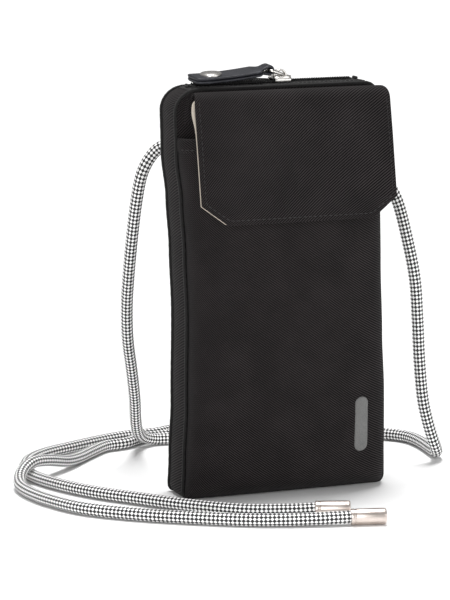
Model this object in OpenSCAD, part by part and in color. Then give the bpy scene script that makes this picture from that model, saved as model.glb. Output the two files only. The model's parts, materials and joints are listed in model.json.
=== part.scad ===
// Neck pouch wallet: a slim zipped pouch with a phone pocket, a flap and two round neck cords.
// It stands on the floor at z = 0 with its front towards -Y.

/* [Pouch] */
// Width of the zipped pouch
pouch_w = 101; // [96:1:106]
// Height of the pouch
pouch_h = 197; // [192:1:200]
// Depth of the gusset, front seam to back seam
gusset_depth = 21; // [20:0.5:23]
// Radius of the pouch's top corners
top_r = 7; // [5:0.5:9]
// Radius of the pouch's bottom corners
bottom_r = 4; // [3:0.5:5]
// Thickness of the padded fabric panels
fabric_t = 1.6; // [1.4:0.1:1.8]
// Thickness of the thin lining
lining_t = 0.5; // [0.4:0.1:0.6]

/* [Phone pocket] */
// Width of the phone pocket
pocket_w = 99; // [97:0.5:99.5]
// Height of the phone pocket's mouth
pocket_h = 174; // [165:1:178]
// How far the pocket bulges in front of the seam
pocket_crown = 15.5; // [14:0.5:16]
// Height of the folded hem at the mouth
hem_h = 6; // [4:0.5:10]

/* [Flap] */
// Width of the flap
flap_w = 99; // [96:1:102]
// Sideways offset of the flap
flap_shift = 2.5; // [-2:0.5:3]
// Height of the flap's lowest edge above the floor
flap_low = 134.5; // [130:0.5:140]
// Width of the cut corners
flap_cut_w = 12.5; // [8:0.5:16]
// Height of the cut corners
flap_cut_h = 9.5; // [6:0.5:14]

/* [Zip] */
// Length of the zip between its end stops
zip_len = 84; // [76:2:86]
// Place of the slider along the zip
slider_x = 4; // [2:0.5:6]
// Half the gap between the two rows where the zip is open
open_half = 3.4; // [3.2:0.1:3.6]

/* [Pull] */
// Length of the leather pull
pull_len = 40; // [36:1:44]
// Width of the leather pull
pull_w = 13.5; // [12:0.5:14]
// Thickness of the folded leather
leather_t = 3; // [2.6:0.1:3]
// Diameter of the rivet's cap
rivet_d = 10.5; // [8:0.5:11]

/* [Cord] */
// Diameter of the braided cord
cord_d = 6; // [5:0.1:6]
// Diameter of the metal cord ends
cap_d = 7.6; // [7.4:0.1:8.2]
// Length of the metal cord ends
cap_len = 16.5; // [14:0.5:18]

/* [Grey bar] */
// Place of the bar to the right of the pouch's middle
bar_x = 35; // [30:0.5:40]
// Height of the bar's low end
bar_z = 19.5; // [16:0.5:24]
// Length of the bar
bar_len = 27; // [20:1:34]
// Width of the bar
bar_w = 6.2; // [4:0.2:7]

/* [Hidden] */
$fn = 48;

// The seam between the gusset and the front, and the pouch's back
seam_y = -9;
back_y = seam_y + gusset_depth;
zip_y = (seam_y + back_y) / 2;
half_w = pouch_w / 2;
seam_band = 0.8;
gap = 0.3;
// The zip's levels, from the top of the gusset up
tape_z = pouch_h;
tape_t = 0.8;
teeth_z = tape_z + tape_t;
teeth_h = 1.4;
tooth_w = 1.7;
tooth_pitch = 2.4;
slot_half_y = 5.9;
slot_half_x = zip_len / 2 + 2;
// The slider and the pivot of its ring
plate_z = teeth_z + teeth_h + 0.4;
plate_t = 1.2;
plate_l = 10;
plate_w = 11;
wire_r = 0.8;
pivot_z = plate_z + plate_t + 0.4 + wire_r;
ring_l = 7;
ring_half = 4.2;
ring_rise = 18;
pull_yaw = 6.5;
pull_roll = 6.5;
pull_droop = 4.5;
fold_r = 2.5;
rivet_in = 30;
// The flap's fold is an arc about the hinge axis, so that it turns in its own space
hinge_y = seam_y - 6.6;
hinge_z = 192;
flap_r = 5.7;
flap_t = 2.2;
flap_lean = 10.2;
shell_t = 0.9;
board_t = 0.6;
snap_z = 141;
snap_d = 11;
eyelet_x = 43;
eyelet_z = 168;
eyelet_r = 4;
bore_r = 3.1;
flange_r = 5.8;
// Route of the left cord: knot, eyelet, down behind, a loop on the floor, then forward
LEFT_ROUTE = [
  [-43, 6, 168], [-43, 14, 168], [-45, 20.5, 168], [-50, 25, 166], [-56.5, 27.5, 156],
  [-58.5, 32, 142], [-59, 39, 122], [-58.5, 47, 102], [-57, 55.5, 84], [-54, 64, 66],
  [-49, 74, 49], [-44, 85, 32], [-40, 96, 17], [-36, 104.5, 9], [-31, 110.5, 5],
  [-23, 113, 3], [-10, 109.5, 3], [8, 105, 3], [26, 103, 3.6], [38, 105, 7.6],
  [46.5, 111.5, 9.6], [47, 120.5, 8], [40, 128, 4], [27, 132, 3], [8, 134, 3],
  [-9, 131.5, 3], [-20, 126.5, 3], [-36, 126, 3], [-52, 120.5, 3], [-71, 111, 3],
  [-88, 101.5, 3], [-99.5, 89, 3], [-106.5, 71, 3], [-106.5, 52, 3], [-99.5, 30, 3],
  [-89, 9.5, 3], [-75, -9, 3], [-57, -31, 3], [-36, -50.5, 3], [-16, -60.3, 3.4],
  [-4.7, -64.5, 3.8]
];
// Route of the right cord
RIGHT_ROUTE = [
  [43, 6, 168], [43, 14, 168], [45, 20.5, 168], [51, 25, 165], [60, 25, 155.5],
  [68, 23.5, 145], [74, 22, 135], [79, 20.5, 115], [82.5, 19, 95], [84, 19, 74],
  [85, 19, 54], [87, 19, 33], [91, 19.5, 17.5], [95, 21.5, 8], [98.5, 27.5, 3.6],
  [100, 38, 3], [101.5, 52, 3], [101, 66, 3], [96, 75.5, 3], [87, 83, 3],
  [74, 92, 3], [60, 102, 3], [46, 110, 3], [32, 116, 3], [12, 119, 3],
  [-10, 119, 3], [-28, 119.5, 3], [-34, 115.5, 3], [-42, 109.5, 3], [-53, 107.5, 3],
  [-63, 98, 3], [-72, 88, 3], [-84, 74.5, 4.5], [-96, 64.5, 8], [-107, 56.5, 9.6],
  [-115, 48.5, 6.5], [-118.5, 38, 3.2], [-118.5, 22, 3], [-114, 2, 3], [-104, -20, 3],
  [-86, -39, 3], [-66, -54, 3], [-40, -70, 3], [-14, -80.5, 3.4], [4.6, -85.5, 3.8]
];
CORD_SIDES = 10;

// ---- functions ----

function unit(v) = v / norm(v);
function tangent(p, i) = unit(p[min(i + 1, len(p) - 1)] - p[max(i - 1, 0)]);
// A side vector at each route point, carried along so that the rings don't twist
function square_to(n, t) = unit(n - (n * t) * t);
function side_vectors(p, i, n) =
  i == len(p) ? [] :
  let (s = square_to(n, tangent(p, i))) concat([s], side_vectors(p, i + 1, s));
function ring_points(c, t, s, r, sides) =
  [for (k = [0:sides - 1]) c + r * (cos(360 * k / sides) * s + sin(360 * k / sides) * cross(t, s))];

// The pocket's plan: a flat-sided curve that bulges forward, g inside the outer face
function pocket_plan(g) =
  let (w = pocket_w / 2 - g, d = pocket_crown - g, steps = 28)
  concat(
    [[w, seam_y]],
    [for (k = [0:steps])
      let (a = 180 * k / steps, u = cos(a), x = sign(u) * pow(abs(u), 0.55))
      [w * x, seam_y - d * pow(max(0, 1 - pow(abs(x), 4.7)), 1 / 3)]],
    [[-w, seam_y]]
  );
// The pocket's side view: how far forward it reaches at each height, g inside
function pocket_side(g) = [
  [seam_y + 1, -1], [seam_y - 10 + g, g > 0 ? -1 : 0], [seam_y - 12.5 + g, 4],
  [seam_y - 14.5 + g, 14], [seam_y - 15.5 + g, 50], [seam_y - 15.5 + g, 145],
  [seam_y - 14 + g, 160], [seam_y - 12 + g, pocket_h + (g > 0 ? 1 : 0)],
  [seam_y + 1, pocket_h + (g > 0 ? 1 : 0)]
];

// The flap's side view between two depths measured from its outer face
function flap_point(r, a) = [hinge_y + r * cos(a), hinge_z + r * sin(a)];
function flap_foot(r) =
  let (p = flap_point(r, 180 + flap_lean), run = p[1] - flap_low + 3)
  [p[0] - run * tan(flap_lean), p[1] - run];
function flap_band(a, b) = concat(
  [for (k = [0:12]) flap_point(flap_r - a, 25 + k * (155 + flap_lean) / 12)],
  [flap_foot(flap_r - a), flap_foot(flap_r - b)],
  [for (k = [12:-1:0]) flap_point(flap_r - b, 25 + k * (155 + flap_lean) / 12)]
);
// The edge of a zip row: apart where the zip is open, together past the slider
function row_gap(x) =
  x > slider_x + 3 ? 0 :
  x > slider_x - 3 ? open_half * (slider_x + 3 - x) / 6 :
  x > -zip_len / 2 + 8 ? open_half :
  open_half * max(0, (x + zip_len / 2) / 8);

// ---- shared shapes ----

module rounded_front(grow) {
  top = top_r + grow;
  low = bottom_r + grow;
  w = half_w + grow;
  square_low = low;
  union() {
    for (s = [-1, 1]) {
      translate([s * (w - top), pouch_h + grow - top]) circle(r = top);
      translate([s * (w - low), -grow + low]) circle(r = low);
    }
    translate([-w, -grow + square_low]) square([2 * w, pouch_h + 2 * grow - top - square_low]);
    translate([-w + top, pouch_h + grow - top - 1]) square([2 * (w - top), top + 1]);
    translate([-w + low, -grow]) square([2 * (w - low), low + 1]);
  }
}

// A slab of the pouch's outline between two depths
module outline_slab(grow, y0, y1) {
  translate([0, y1, 0]) rotate([90, 0, 0]) linear_extrude(y1 - y0) rounded_front(grow);
}

module above_floor() {
  size = 300;
  translate([-size / 2, -size / 2, 0]) cube(size);
}

module seam_ring(y) {
  intersection() {
    difference() {
      outline_slab(seam_band, y - 0.8, y + 0.8);
      outline_slab(0, y - 1.8, y + 1.8);
    }
    above_floor();
  }
}

module pocket_solid(g) {
  intersection() {
    translate([0, 0, -1]) linear_extrude(pocket_h + 3) polygon(pocket_plan(g));
    translate([-pocket_w / 2, 0, 0]) rotate([90, 0, 90]) linear_extrude(pocket_w) polygon(pocket_side(g));
    translate([0, 2, 0]) rotate([90, 0, 0]) linear_extrude(40) pocket_front(g);
  }
}

// The pocket's front outline, with round bottom corners
module pocket_front(g) {
  w = pocket_w / 2 - g;
  r = 6 - g;
  union() {
    for (s = [-1, 1]) {
      translate([s * (w - r), r + g]) circle(r = r);
    }
    translate([-w, r + g]) square([2 * w, pocket_h]);
    translate([-w + r, g]) square([2 * (w - r), r + 1]);
  }
}

module flap_layer(a, b, inset) {
  w = flap_w / 2 - inset;
  r = 4;
  top = hinge_z + flap_r + 1;
  intersection() {
    translate([-w + flap_shift, 0, 0]) rotate([90, 0, 90]) linear_extrude(2 * w) polygon(flap_band(a, b));
    translate([flap_shift, 10, 0]) rotate([90, 0, 0]) linear_extrude(60) polygon([
      [-w, flap_low + flap_cut_h + inset * 0.4], [-w, top - r], [-w + 1.2, top - 2.2], [-w + 3, top],
      [w - 3, top], [w - 1.2, top - 2.2], [w, top - r], [w, flap_low + flap_cut_h + inset * 0.4],
      [w - flap_cut_w + inset * 0.6, flap_low + inset], [-w + flap_cut_w - inset * 0.6, flap_low + inset]
    ]);
  }
}

// A point or solid in the frame of the flap's flat part: z = 0 at its outer face, +Z into the pouch
module on_flap(z) {
  p = flap_point(flap_r, 180 + flap_lean);
  run = p[1] - z;
  translate([flap_shift, p[0] - run * tan(flap_lean), z]) rotate([-90 - flap_lean, 0, 0]) children();
}

module tape_strip(side) {
  x0 = zip_len / 2 + 3;
  edge = [for (x = [-zip_len / 2:2:zip_len / 2]) [x, zip_y + side * (row_gap(x) + 0.15)]];
  outer = zip_y + side * (slot_half_y + 2);
  translate([0, 0, tape_z]) linear_extrude(tape_t)
    polygon(concat([[-x0, outer], [-x0, zip_y + side * 0.15]], edge, [[x0, zip_y + side * 0.15], [x0, outer]]));
}

module teeth_row(side) {
  for (x = [-zip_len / 2 + 2:tooth_pitch:zip_len / 2 - 2]) {
    stagger = side > 0 ? 0 : tooth_pitch / 2;
    y = zip_y + side * (row_gap(x + stagger) + tooth_w / 2 - 0.5);
    translate([x + stagger, y, teeth_z]) linear_extrude(teeth_h) square([0.9, tooth_w], center = true);
  }
}

module eyelet(side) {
  color("silver")
  translate([side * eyelet_x, 0, eyelet_z])
  rotate([-90, 0, 0])
  difference() {
    union() {
      translate([0, 0, 8.1]) cylinder(r = eyelet_r, h = back_y + 0.8 - 8.1);
      translate([0, 0, back_y]) cylinder(r = flange_r, h = 0.8);
      translate([0, 0, 7.4]) cylinder(r = flange_r, h = 0.8);
    }
    translate([0, 0, 5]) cylinder(r = bore_r, h = 12);
  }
}

// Holes that the eyelets pass through
module eyelet_holes(r) {
  for (side = [-1, 1]) {
    translate([side * eyelet_x, 5, eyelet_z]) rotate([-90, 0, 0]) cylinder(r = r, h = 12);
  }
}

module cord_knot(side) {
  color("whitesmoke")
  translate([side * eyelet_x, 1, eyelet_z])
  intersection() {
    union() {
      sphere(r = 5.2);
      rotate([0, 35, 0]) rotate_extrude() translate([3.6, 0]) circle(r = 2.6);
    }
    translate([-10, -10, -10]) cube([20, 15, 20]);
  }
}

module cord(route) {
  sides = side_vectors(route, 0, [0.1, 0.2, 1]);
  rings = [for (i = [0:len(route) - 1])
    ring_points(route[i], tangent(route, i), sides[i], cord_d / 2, CORD_SIDES)];
  last = len(route) - 1;
  walls = [for (i = [0:last - 1]) for (k = [0:CORD_SIDES - 1])
    let (n = (k + 1) % CORD_SIDES)
    [i * CORD_SIDES + k, (i + 1) * CORD_SIDES + k, (i + 1) * CORD_SIDES + n, i * CORD_SIDES + n]];
  color("gainsboro")
  polyhedron(
    points = [for (r = rings) for (p = r) p],
    faces = concat(
      [[for (k = [0:CORD_SIDES - 1]) k]],
      walls,
      [[for (k = [CORD_SIDES - 1:-1:0]) last * CORD_SIDES + k]]
    )
  );
}

// A metal cord end, in line with the last stretch of its cord
module cord_cap(route) {
  last = len(route) - 1;
  d = route[last] - route[last - 1];
  color("wheat")
  translate(route[last])
  rotate([0, 90, atan2(d[1], d[0])])
  rotate_extrude() polygon([
    [0, 0], [cap_d / 2 - 0.3, 0], [cap_d / 2, 0.3], [cap_d / 2, cap_len - 0.6],
    [cap_d / 2 - 0.6, cap_len], [0, cap_len]
  ]);
}

// The pull's frame: its origin is the ring's pivot, and -X points along the pull
module in_pull() {
  translate([slider_x, zip_y, pivot_z]) rotate([pull_roll, 0, pull_yaw]) children();
}

// The strap's frame: its origin is the far bar of the ring
module in_strap() {
  in_pull() translate([-ring_l * cos(ring_rise), 0, ring_l * sin(ring_rise)])
    rotate([0, -pull_droop, 0]) children();
}

// ---- the pouch ----

module gusset() {
  color("#2b2829")
  difference() {
    outline_slab(0, seam_y + fabric_t, back_y - fabric_t);
    outline_slab(-fabric_t, seam_y, back_y);
    translate([-slot_half_x, zip_y - slot_half_y, pouch_h - 5]) cube([2 * slot_half_x, 2 * slot_half_y, 10]);
  }
}

module middle_panel() {
  color("#292627") outline_slab(0, seam_y, seam_y + fabric_t);
}

module back_panel() {
  color("#2b2829")
  difference() {
    outline_slab(0, back_y - fabric_t, back_y);
    eyelet_holes(eyelet_r);
  }
}

module front_piping() {
  color("#1b191a") seam_ring(seam_y);
}

module back_piping() {
  color("#1b191a") seam_ring(back_y - 0.8);
}

module pocket_panel() {
  color("#2b2829")
  difference() {
    pocket_solid(0);
    pocket_solid(fabric_t);
    translate([-60, seam_y, -5]) cube([120, 10, 250]);
  }
}

module pocket_lining() {
  color("#3a3637")
  difference() {
    pocket_solid(fabric_t);
    pocket_solid(fabric_t + lining_t);
    translate([-60, seam_y - 0.2, -5]) cube([120, 10, 250]);
    translate([-60, -60, pocket_h - 2]) cube([120, 80, 20]);
  }
}

module pocket_hem() {
  color("#2f2c2d")
  difference() {
    intersection() {
      pocket_solid(-0.6);
      translate([-60, -60, pocket_h - hem_h]) cube([120, 60 + seam_y - 1, hem_h]);
    }
    pocket_solid(0);
    pocket_solid(fabric_t);
  }
}

module front_patch() {
  color("dimgray")
  difference() {
    intersection() {
      pocket_solid(-0.5);
      translate([bar_x, -10, bar_z + bar_w / 2]) rotate([90, 0, 0]) linear_extrude(30) union() {
        translate([-bar_w / 2, 0]) square([bar_w, bar_len - bar_w]);
        circle(d = bar_w);
        translate([0, bar_len - bar_w]) circle(d = bar_w);
      }
    }
    pocket_solid(0);
  }
}

module snap_socket() {
  color("silver")
  translate([flap_shift, seam_y - pocket_crown, snap_z])
  rotate([90, 0, 0])
  difference() {
    cylinder(d = snap_d, h = 1.2);
    translate([0, 0, 0.7]) cylinder(d = 5, h = 2);
  }
}

module compartment_lining() {
  color("#3a3637")
  difference() {
    outline_slab(-fabric_t, seam_y + fabric_t, back_y - 2 * fabric_t);
    outline_slab(-fabric_t - lining_t, seam_y + fabric_t + lining_t, back_y - 2 * fabric_t - lining_t);
    translate([-60, -30, pouch_h - 6]) cube([120, 60, 10]);
    eyelet_holes(flange_r + 0.4);
  }
}

module card_slots() {
  slot_t = 0.6;
  color("#353132")
  for (k = [0:2]) {
    translate([-44, seam_y + fabric_t + lining_t, 22])
      cube([88, slot_t * (k + 1), 74 - 12 * k]);
  }
}

module back_padding() {
  color("dimgray")
  difference() {
    outline_slab(-fabric_t - 1, back_y - 2 * fabric_t, back_y - fabric_t);
    eyelet_holes(flange_r + 0.4);
  }
}

module base_board() {
  color("gray")
  translate([-45, seam_y + 3 * fabric_t, fabric_t + lining_t]) cube([90, gusset_depth - 6 * fabric_t, 1]);
}

module flap_hinge_tape() {
  color("#232021") translate([-48, seam_y - 0.6, 181]) cube([96, 0.6, 13]);
}

module zip_tape_front() {
  color("#1f1d1e") tape_strip(-1);
}

module zip_tape_back() {
  color("#1f1d1e") tape_strip(1);
}

module zip_teeth_front() {
  color("#161415") teeth_row(-1);
}

module zip_teeth_back() {
  color("#161415") teeth_row(1);
}

module zip_end_stops() {
  color("silver")
  for (s = [-1, 1]) {
    translate([s * (zip_len / 2 + 1), zip_y, teeth_z + teeth_h / 2]) cube([1.4, 4.4, teeth_h], center = true);
  }
}

// ---- cords ----

module eyelet_left() {
  eyelet(-1);
}

module eyelet_right() {
  eyelet(1);
}

module cord_knot_left() {
  cord_knot(-1);
}

module cord_knot_right() {
  cord_knot(1);
}

module cord_left() {
  cord(LEFT_ROUTE);
}

module cord_right() {
  cord(RIGHT_ROUTE);
}

module cord_cap_left() {
  cord_cap(LEFT_ROUTE);
}

module cord_cap_right() {
  cord_cap(RIGHT_ROUTE);
}

// ---- the flap ----

module flap_shell() {
  color("#2b2829") flap_layer(0, shell_t, 0);
}

module flap_board() {
  color("gray")
  difference() {
    flap_layer(shell_t, shell_t + board_t, 3);
    on_flap(snap_z) translate([0, 0, -5]) cylinder(d = snap_d - 1, h = 12);
  }
}

module flap_lining() {
  color("#c9bfb4") flap_layer(shell_t + board_t, flap_t, 0);
}

module snap_stud() {
  color("silver")
  on_flap(snap_z) {
    translate([0, 0, flap_t]) cylinder(d = snap_d, h = 0.8);
    translate([0, 0, flap_t + 0.7]) cylinder(d = 3, h = 0.7);
  }
}

// ---- the slider and its pull ----

module slider_body() {
  color("silver")
  translate([slider_x, zip_y, 0]) {
    translate([-plate_l / 2 + 2, -plate_w / 2, plate_z]) cube([plate_l - 4, plate_w, plate_t]);
    for (s = [-1, 1]) {
      translate([s * (plate_l / 2 - 2), 0, plate_z]) cylinder(r = 2, h = plate_t);
      translate([s * (plate_l / 2 - 2), 0, plate_z + plate_t / 2]) cube([3.4, plate_w - 3, plate_t], center = true);
      translate([-plate_l / 2 + 1, s * (plate_w / 2 - 0.4) - 0.4, teeth_z + gap])
        cube([plate_l - 2, 0.8, plate_z - teeth_z - gap + 0.5]);
    }
  }
}

module slider_bridge() {
  inner = 2 * wire_r + 0.8;
  color("silver")
  translate([slider_x, zip_y + 1.3, plate_z + plate_t])
  rotate([90, 0, 0])
  linear_extrude(2.6)
  difference() {
    polygon([[-3.4, 0], [-2.6, 2.4], [-1.4, 3.6], [1.4, 3.6], [2.6, 2.4], [3.4, 0]]);
    translate([-1.5, 0]) square([3, inner - 0.6]);
    translate([0, inner - 1]) circle(r = 1.5 - 0.2);
  }
}

module pull_ring() {
  bend = 1.6;
  color("silver")
  in_pull() rotate([0, ring_rise, 0]) {
    for (x = [0, -ring_l]) {
      translate([x, 0, 0]) rotate([90, 0, 0]) cylinder(r = wire_r, h = 2 * (ring_half - bend), center = true);
    }
    for (s = [-1, 1]) {
      translate([-bend, s * ring_half, 0]) rotate([0, -90, 0]) cylinder(r = wire_r, h = ring_l - 2 * bend);
    }
    for (a = [0:3]) {
      translate([a == 0 || a == 3 ? -bend : bend - ring_l, (a < 2 ? 1 : -1) * (ring_half - bend), 0])
        rotate([0, 0, 90 * a]) rotate_extrude(angle = 90) translate([bend, 0]) circle(r = wire_r);
    }
  }
}

module pull_leather() {
  neck = 3.1;
  color("#23262e")
  in_strap()
  difference() {
    union() {
      rotate([90, 0, 0]) cylinder(r = fold_r, h = 2 * neck, center = true);
      translate([0, 0, -leather_t / 2]) linear_extrude(leather_t) union() {
        translate([-4, -neck]) square([4, 2 * neck]);
        translate([-pull_len + 3, -pull_w / 2]) square([pull_len - 8, pull_w]);
        translate([-pull_len, -pull_w / 2 + 3]) square([pull_len - 4, pull_w - 6]);
        for (s = [-1, 1]) {
          translate([-pull_len + 3, s * (pull_w / 2 - 3)]) circle(r = 3);
          translate([-5, s * (pull_w / 2 - 1)]) circle(r = 1);
        }
      }
    }
    rotate([90, 0, 0]) cylinder(r = wire_r + 0.3, h = 20, center = true);
    translate([-rivet_in, 0, -5]) cylinder(d = 3, h = 10);
  }
}

module rivet_cap() {
  color("silver")
  in_strap() translate([-rivet_in, 0, leather_t / 2]) rotate_extrude() polygon([
    [0, -leather_t / 2], [1.5, -leather_t / 2], [1.5, 0], [rivet_d / 2, 0], [rivet_d / 2, 0.5],
    [rivet_d / 2 - 0.4, 0.9], [rivet_d / 2 - 1.4, 1.2], [0, 1.4]
  ]);
}

module rivet_back() {
  color("silver")
  in_strap() translate([-rivet_in, 0, -leather_t / 2]) rotate_extrude() polygon([
    [0, leather_t / 2], [1.5, leather_t / 2], [1.5, 0], [3.5, 0], [3.5, -0.5], [3, -0.8], [0, -0.8]
  ]);
}

gusset();
middle_panel();
back_panel();
front_piping();
back_piping();
pocket_panel();
pocket_hem();
pocket_lining();
front_patch();
snap_socket();
compartment_lining();
card_slots();
back_padding();
base_board();
flap_hinge_tape();
zip_tape_front();
zip_tape_back();
zip_teeth_front();
zip_teeth_back();
zip_end_stops();
eyelet_left();
eyelet_right();
cord_knot_left();
cord_knot_right();
cord_left();
cord_right();
cord_cap_left();
cord_cap_right();
flap_shell();
flap_board();
flap_lining();
snap_stud();
slider_body();
slider_bridge();
pull_ring();
pull_leather();
rivet_cap();
rivet_back();
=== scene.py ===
"""Looks of the neck pouch wallet: twill pouch, phone pocket, flap, zip, leather pull and braided cords."""
import json
import math

import bpy
import bmesh
from mathutils import Matrix, Vector, noise
from mathutils.bvhtree import BVHTree

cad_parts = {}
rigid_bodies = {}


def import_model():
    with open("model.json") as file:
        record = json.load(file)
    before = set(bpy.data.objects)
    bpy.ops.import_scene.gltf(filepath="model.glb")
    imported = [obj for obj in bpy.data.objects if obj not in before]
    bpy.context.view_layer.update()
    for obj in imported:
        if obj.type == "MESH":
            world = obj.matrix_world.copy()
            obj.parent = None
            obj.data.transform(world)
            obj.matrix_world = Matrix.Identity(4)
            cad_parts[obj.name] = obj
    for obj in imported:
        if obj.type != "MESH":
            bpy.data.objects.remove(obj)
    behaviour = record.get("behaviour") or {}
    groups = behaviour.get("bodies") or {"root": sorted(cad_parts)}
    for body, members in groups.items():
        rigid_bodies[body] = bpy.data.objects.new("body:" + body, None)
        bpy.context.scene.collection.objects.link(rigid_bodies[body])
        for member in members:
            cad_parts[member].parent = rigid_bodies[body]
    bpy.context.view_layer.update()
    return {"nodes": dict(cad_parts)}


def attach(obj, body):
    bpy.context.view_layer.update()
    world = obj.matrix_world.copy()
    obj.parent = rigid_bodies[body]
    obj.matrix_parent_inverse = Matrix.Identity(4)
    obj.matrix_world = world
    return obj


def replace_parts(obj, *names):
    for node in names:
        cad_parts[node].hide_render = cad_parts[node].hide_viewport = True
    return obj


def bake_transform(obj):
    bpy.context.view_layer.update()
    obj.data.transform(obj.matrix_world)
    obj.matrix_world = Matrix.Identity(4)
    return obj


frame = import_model()
MM = 0.001
SCENE = bpy.context.scene

# Driving sizes in millimetres. Most repeat the CAD's. POCKET_R and FLAP_LEAN are a little smaller here, and
# SOFT_R and FOLD_DROP have no match there
HALF_W, HEIGHT = 50.5, 197.0
SEAM_Y, BACK_Y, ZIP_Y = -9.0, 12.0, 1.5
TOP_R, BOTTOM_R, SOFT_R = 7.0, 4.0, 11.5
POCKET_HALF, POCKET_TOP, POCKET_OUT = 49.5, 174.0, 15.5
POCKET_R, PANEL_T, SKIN_T = 3.5, 1.6, 1.3
HEM_H = 6.0
FLAP_HALF, FLAP_SHIFT, FLAP_LOW = 49.5, 2.5, 134.5
FLAP_CUT_W, FLAP_CUT_H = 12.5, 9.5
FLAP_LEAN, FLAP_R, HINGE_Y, HINGE_Z = math.radians(9.9), 5.7, -15.6, 192.0
FLAP_SEAM, FOLD_DROP = math.radians(25), 1.7
SHELL_T, BOARD_T, FLAP_T = 0.9, 0.6, 2.2
SNAP_Z, SNAP_R = 141.0, 5.5
ZIP_HALF, SLIDER_X, OPEN_HALF = 42.0, 4.0, 3.4
TAPE_Z, TEETH_Z, PLATE_Z, PIVOT_Z = 197.8, 198.5, 199.6, 202.0
FLANGE_Y, FLANGE_Z = 5.1, 199.0  # middle of the slider's side flanges, clear of the rows they pass
RING_L, RING_HALF, WIRE_R = 7.0, 4.2, 0.8
PULL_L, PULL_HALF, NECK_HALF = 40.0, 6.75, 3.1
PULL_YAW, PULL_ROLL, PULL_DROOP = math.radians(6.5), math.radians(6.5), math.radians(4.5)
RIVET_IN, RIVET_R = 30.0, 5.25
EYELET_X, EYELET_Z = 43.0, 168.0
CORD_R, CAP_R, CAP_L = 3.0, 3.8, 16.5
BAR_X, BAR_Z, BAR_L, BAR_R = 35.0, 19.5, 27.0, 3.1

# ---- camera ----

AIM = Vector((0, -0.009, 0.095))
DISTANCE, YAW, PITCH, ROLL = 1.373, math.radians(21.0), math.radians(9.4), math.radians(0.35)
TURN, TIP = math.radians(1.12), math.radians(-0.04)


def make_camera():
    data = bpy.data.cameras.new("camera")
    data.sensor_width = 36
    data.lens = 171.4
    camera = bpy.data.objects.new("camera", data)
    SCENE.collection.objects.link(camera)
    back = Vector((-math.sin(YAW) * math.cos(PITCH), -math.cos(YAW) * math.cos(PITCH), math.sin(PITCH)))
    right = Vector((math.cos(YAW), -math.sin(YAW), 0))
    up = back.cross(right)
    axes = Matrix((right, up, back)).transposed()
    turn = Matrix.Rotation(TURN, 3, up) @ Matrix.Rotation(TIP, 3, right) @ Matrix.Rotation(-ROLL, 3, back)
    camera.matrix_world = Matrix.Translation(AIM + back * DISTANCE) @ (turn @ axes).to_4x4()
    SCENE.camera = camera


# ---- materials ----


class Shader:
    """A Principled material with short names for the nodes that these looks need."""

    def __init__(self, name, roughness, metallic=0.0, **sockets):
        self.mat = bpy.data.materials.new(name)
        self.mat.use_nodes = True
        self.tree = self.mat.node_tree
        self.bsdf = self.tree.nodes["Principled BSDF"]
        self.bsdf.inputs["Roughness"].default_value = roughness
        self.bsdf.inputs["Metallic"].default_value = metallic
        for key, value in sockets.items():
            self.bsdf.inputs[key.replace("_", " ")].default_value = value
        self.coords = self.tree.nodes.new("ShaderNodeTexCoord")

    def feed(self, socket, value):
        if hasattr(value, "is_output"):
            self.tree.links.new(value, socket)
        else:
            socket.default_value = value

    def math(self, op, a, b=0.0):
        node = self.tree.nodes.new("ShaderNodeMath")
        node.operation = op
        self.feed(node.inputs[0], a)
        self.feed(node.inputs[1], b)
        return node.outputs[0]

    def add(self, a, b):
        return self.math("ADD", a, b)

    def minus(self, a, b):
        return self.math("SUBTRACT", a, b)

    def times(self, a, b):
        return self.math("MULTIPLY", a, b)

    def split(self, source):
        node = self.tree.nodes.new("ShaderNodeSeparateXYZ")
        self.feed(node.inputs[0], self.coords.outputs[source])
        return node.outputs

    def noise(self, scale, detail=2.0):
        node = self.tree.nodes.new("ShaderNodeTexNoise")
        node.inputs["Scale"].default_value = scale
        node.inputs["Detail"].default_value = detail
        self.feed(node.inputs["Vector"], self.coords.outputs["Object"])
        return node.outputs["Fac"]

    def cells(self, scale, feature):
        node = self.tree.nodes.new("ShaderNodeTexVoronoi")
        node.feature = feature
        node.inputs["Scale"].default_value = scale
        self.feed(node.inputs["Vector"], self.coords.outputs["Object"])
        return node.outputs["Distance"]

    def wave(self, value, pitch, shift=0.0):
        """A smooth wave from 0 to 1 of the given pitch in metres."""
        angle = self.add(self.times(value, 2 * math.pi / pitch), shift)
        return self.add(self.times(self.math("COSINE", angle), 0.5), 0.5)

    def ramp(self, value, low, high):
        node = self.tree.nodes.new("ShaderNodeMapRange")
        self.feed(node.inputs["Value"], value)
        node.inputs["From Min"].default_value = low
        node.inputs["From Max"].default_value = high
        return node.outputs["Result"]

    def colours(self, factor, *stops):
        """A colour ramp over (position, (r, g, b)) stops."""
        node = self.tree.nodes.new("ShaderNodeValToRGB")
        while len(node.color_ramp.elements) < len(stops):
            node.color_ramp.elements.new(0.5)
        for element, (place, rgb) in zip(node.color_ramp.elements, stops):
            element.position = place
            element.color = (*rgb, 1)
        self.feed(node.inputs["Fac"], factor)
        return node.outputs["Color"]

    def finish(self, colour, height=None, depth=0.1, roughness=None):
        self.feed(self.bsdf.inputs["Base Color"], colour)
        if roughness is not None:
            self.feed(self.bsdf.inputs["Roughness"], roughness)
        if height is not None:
            bump = self.tree.nodes.new("ShaderNodeBump")
            bump.inputs["Strength"].default_value = 1.0
            bump.inputs["Distance"].default_value = depth * MM
            self.feed(bump.inputs["Height"], height)
            self.feed(self.bsdf.inputs["Normal"], bump.outputs["Normal"])
        return self.mat


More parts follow.
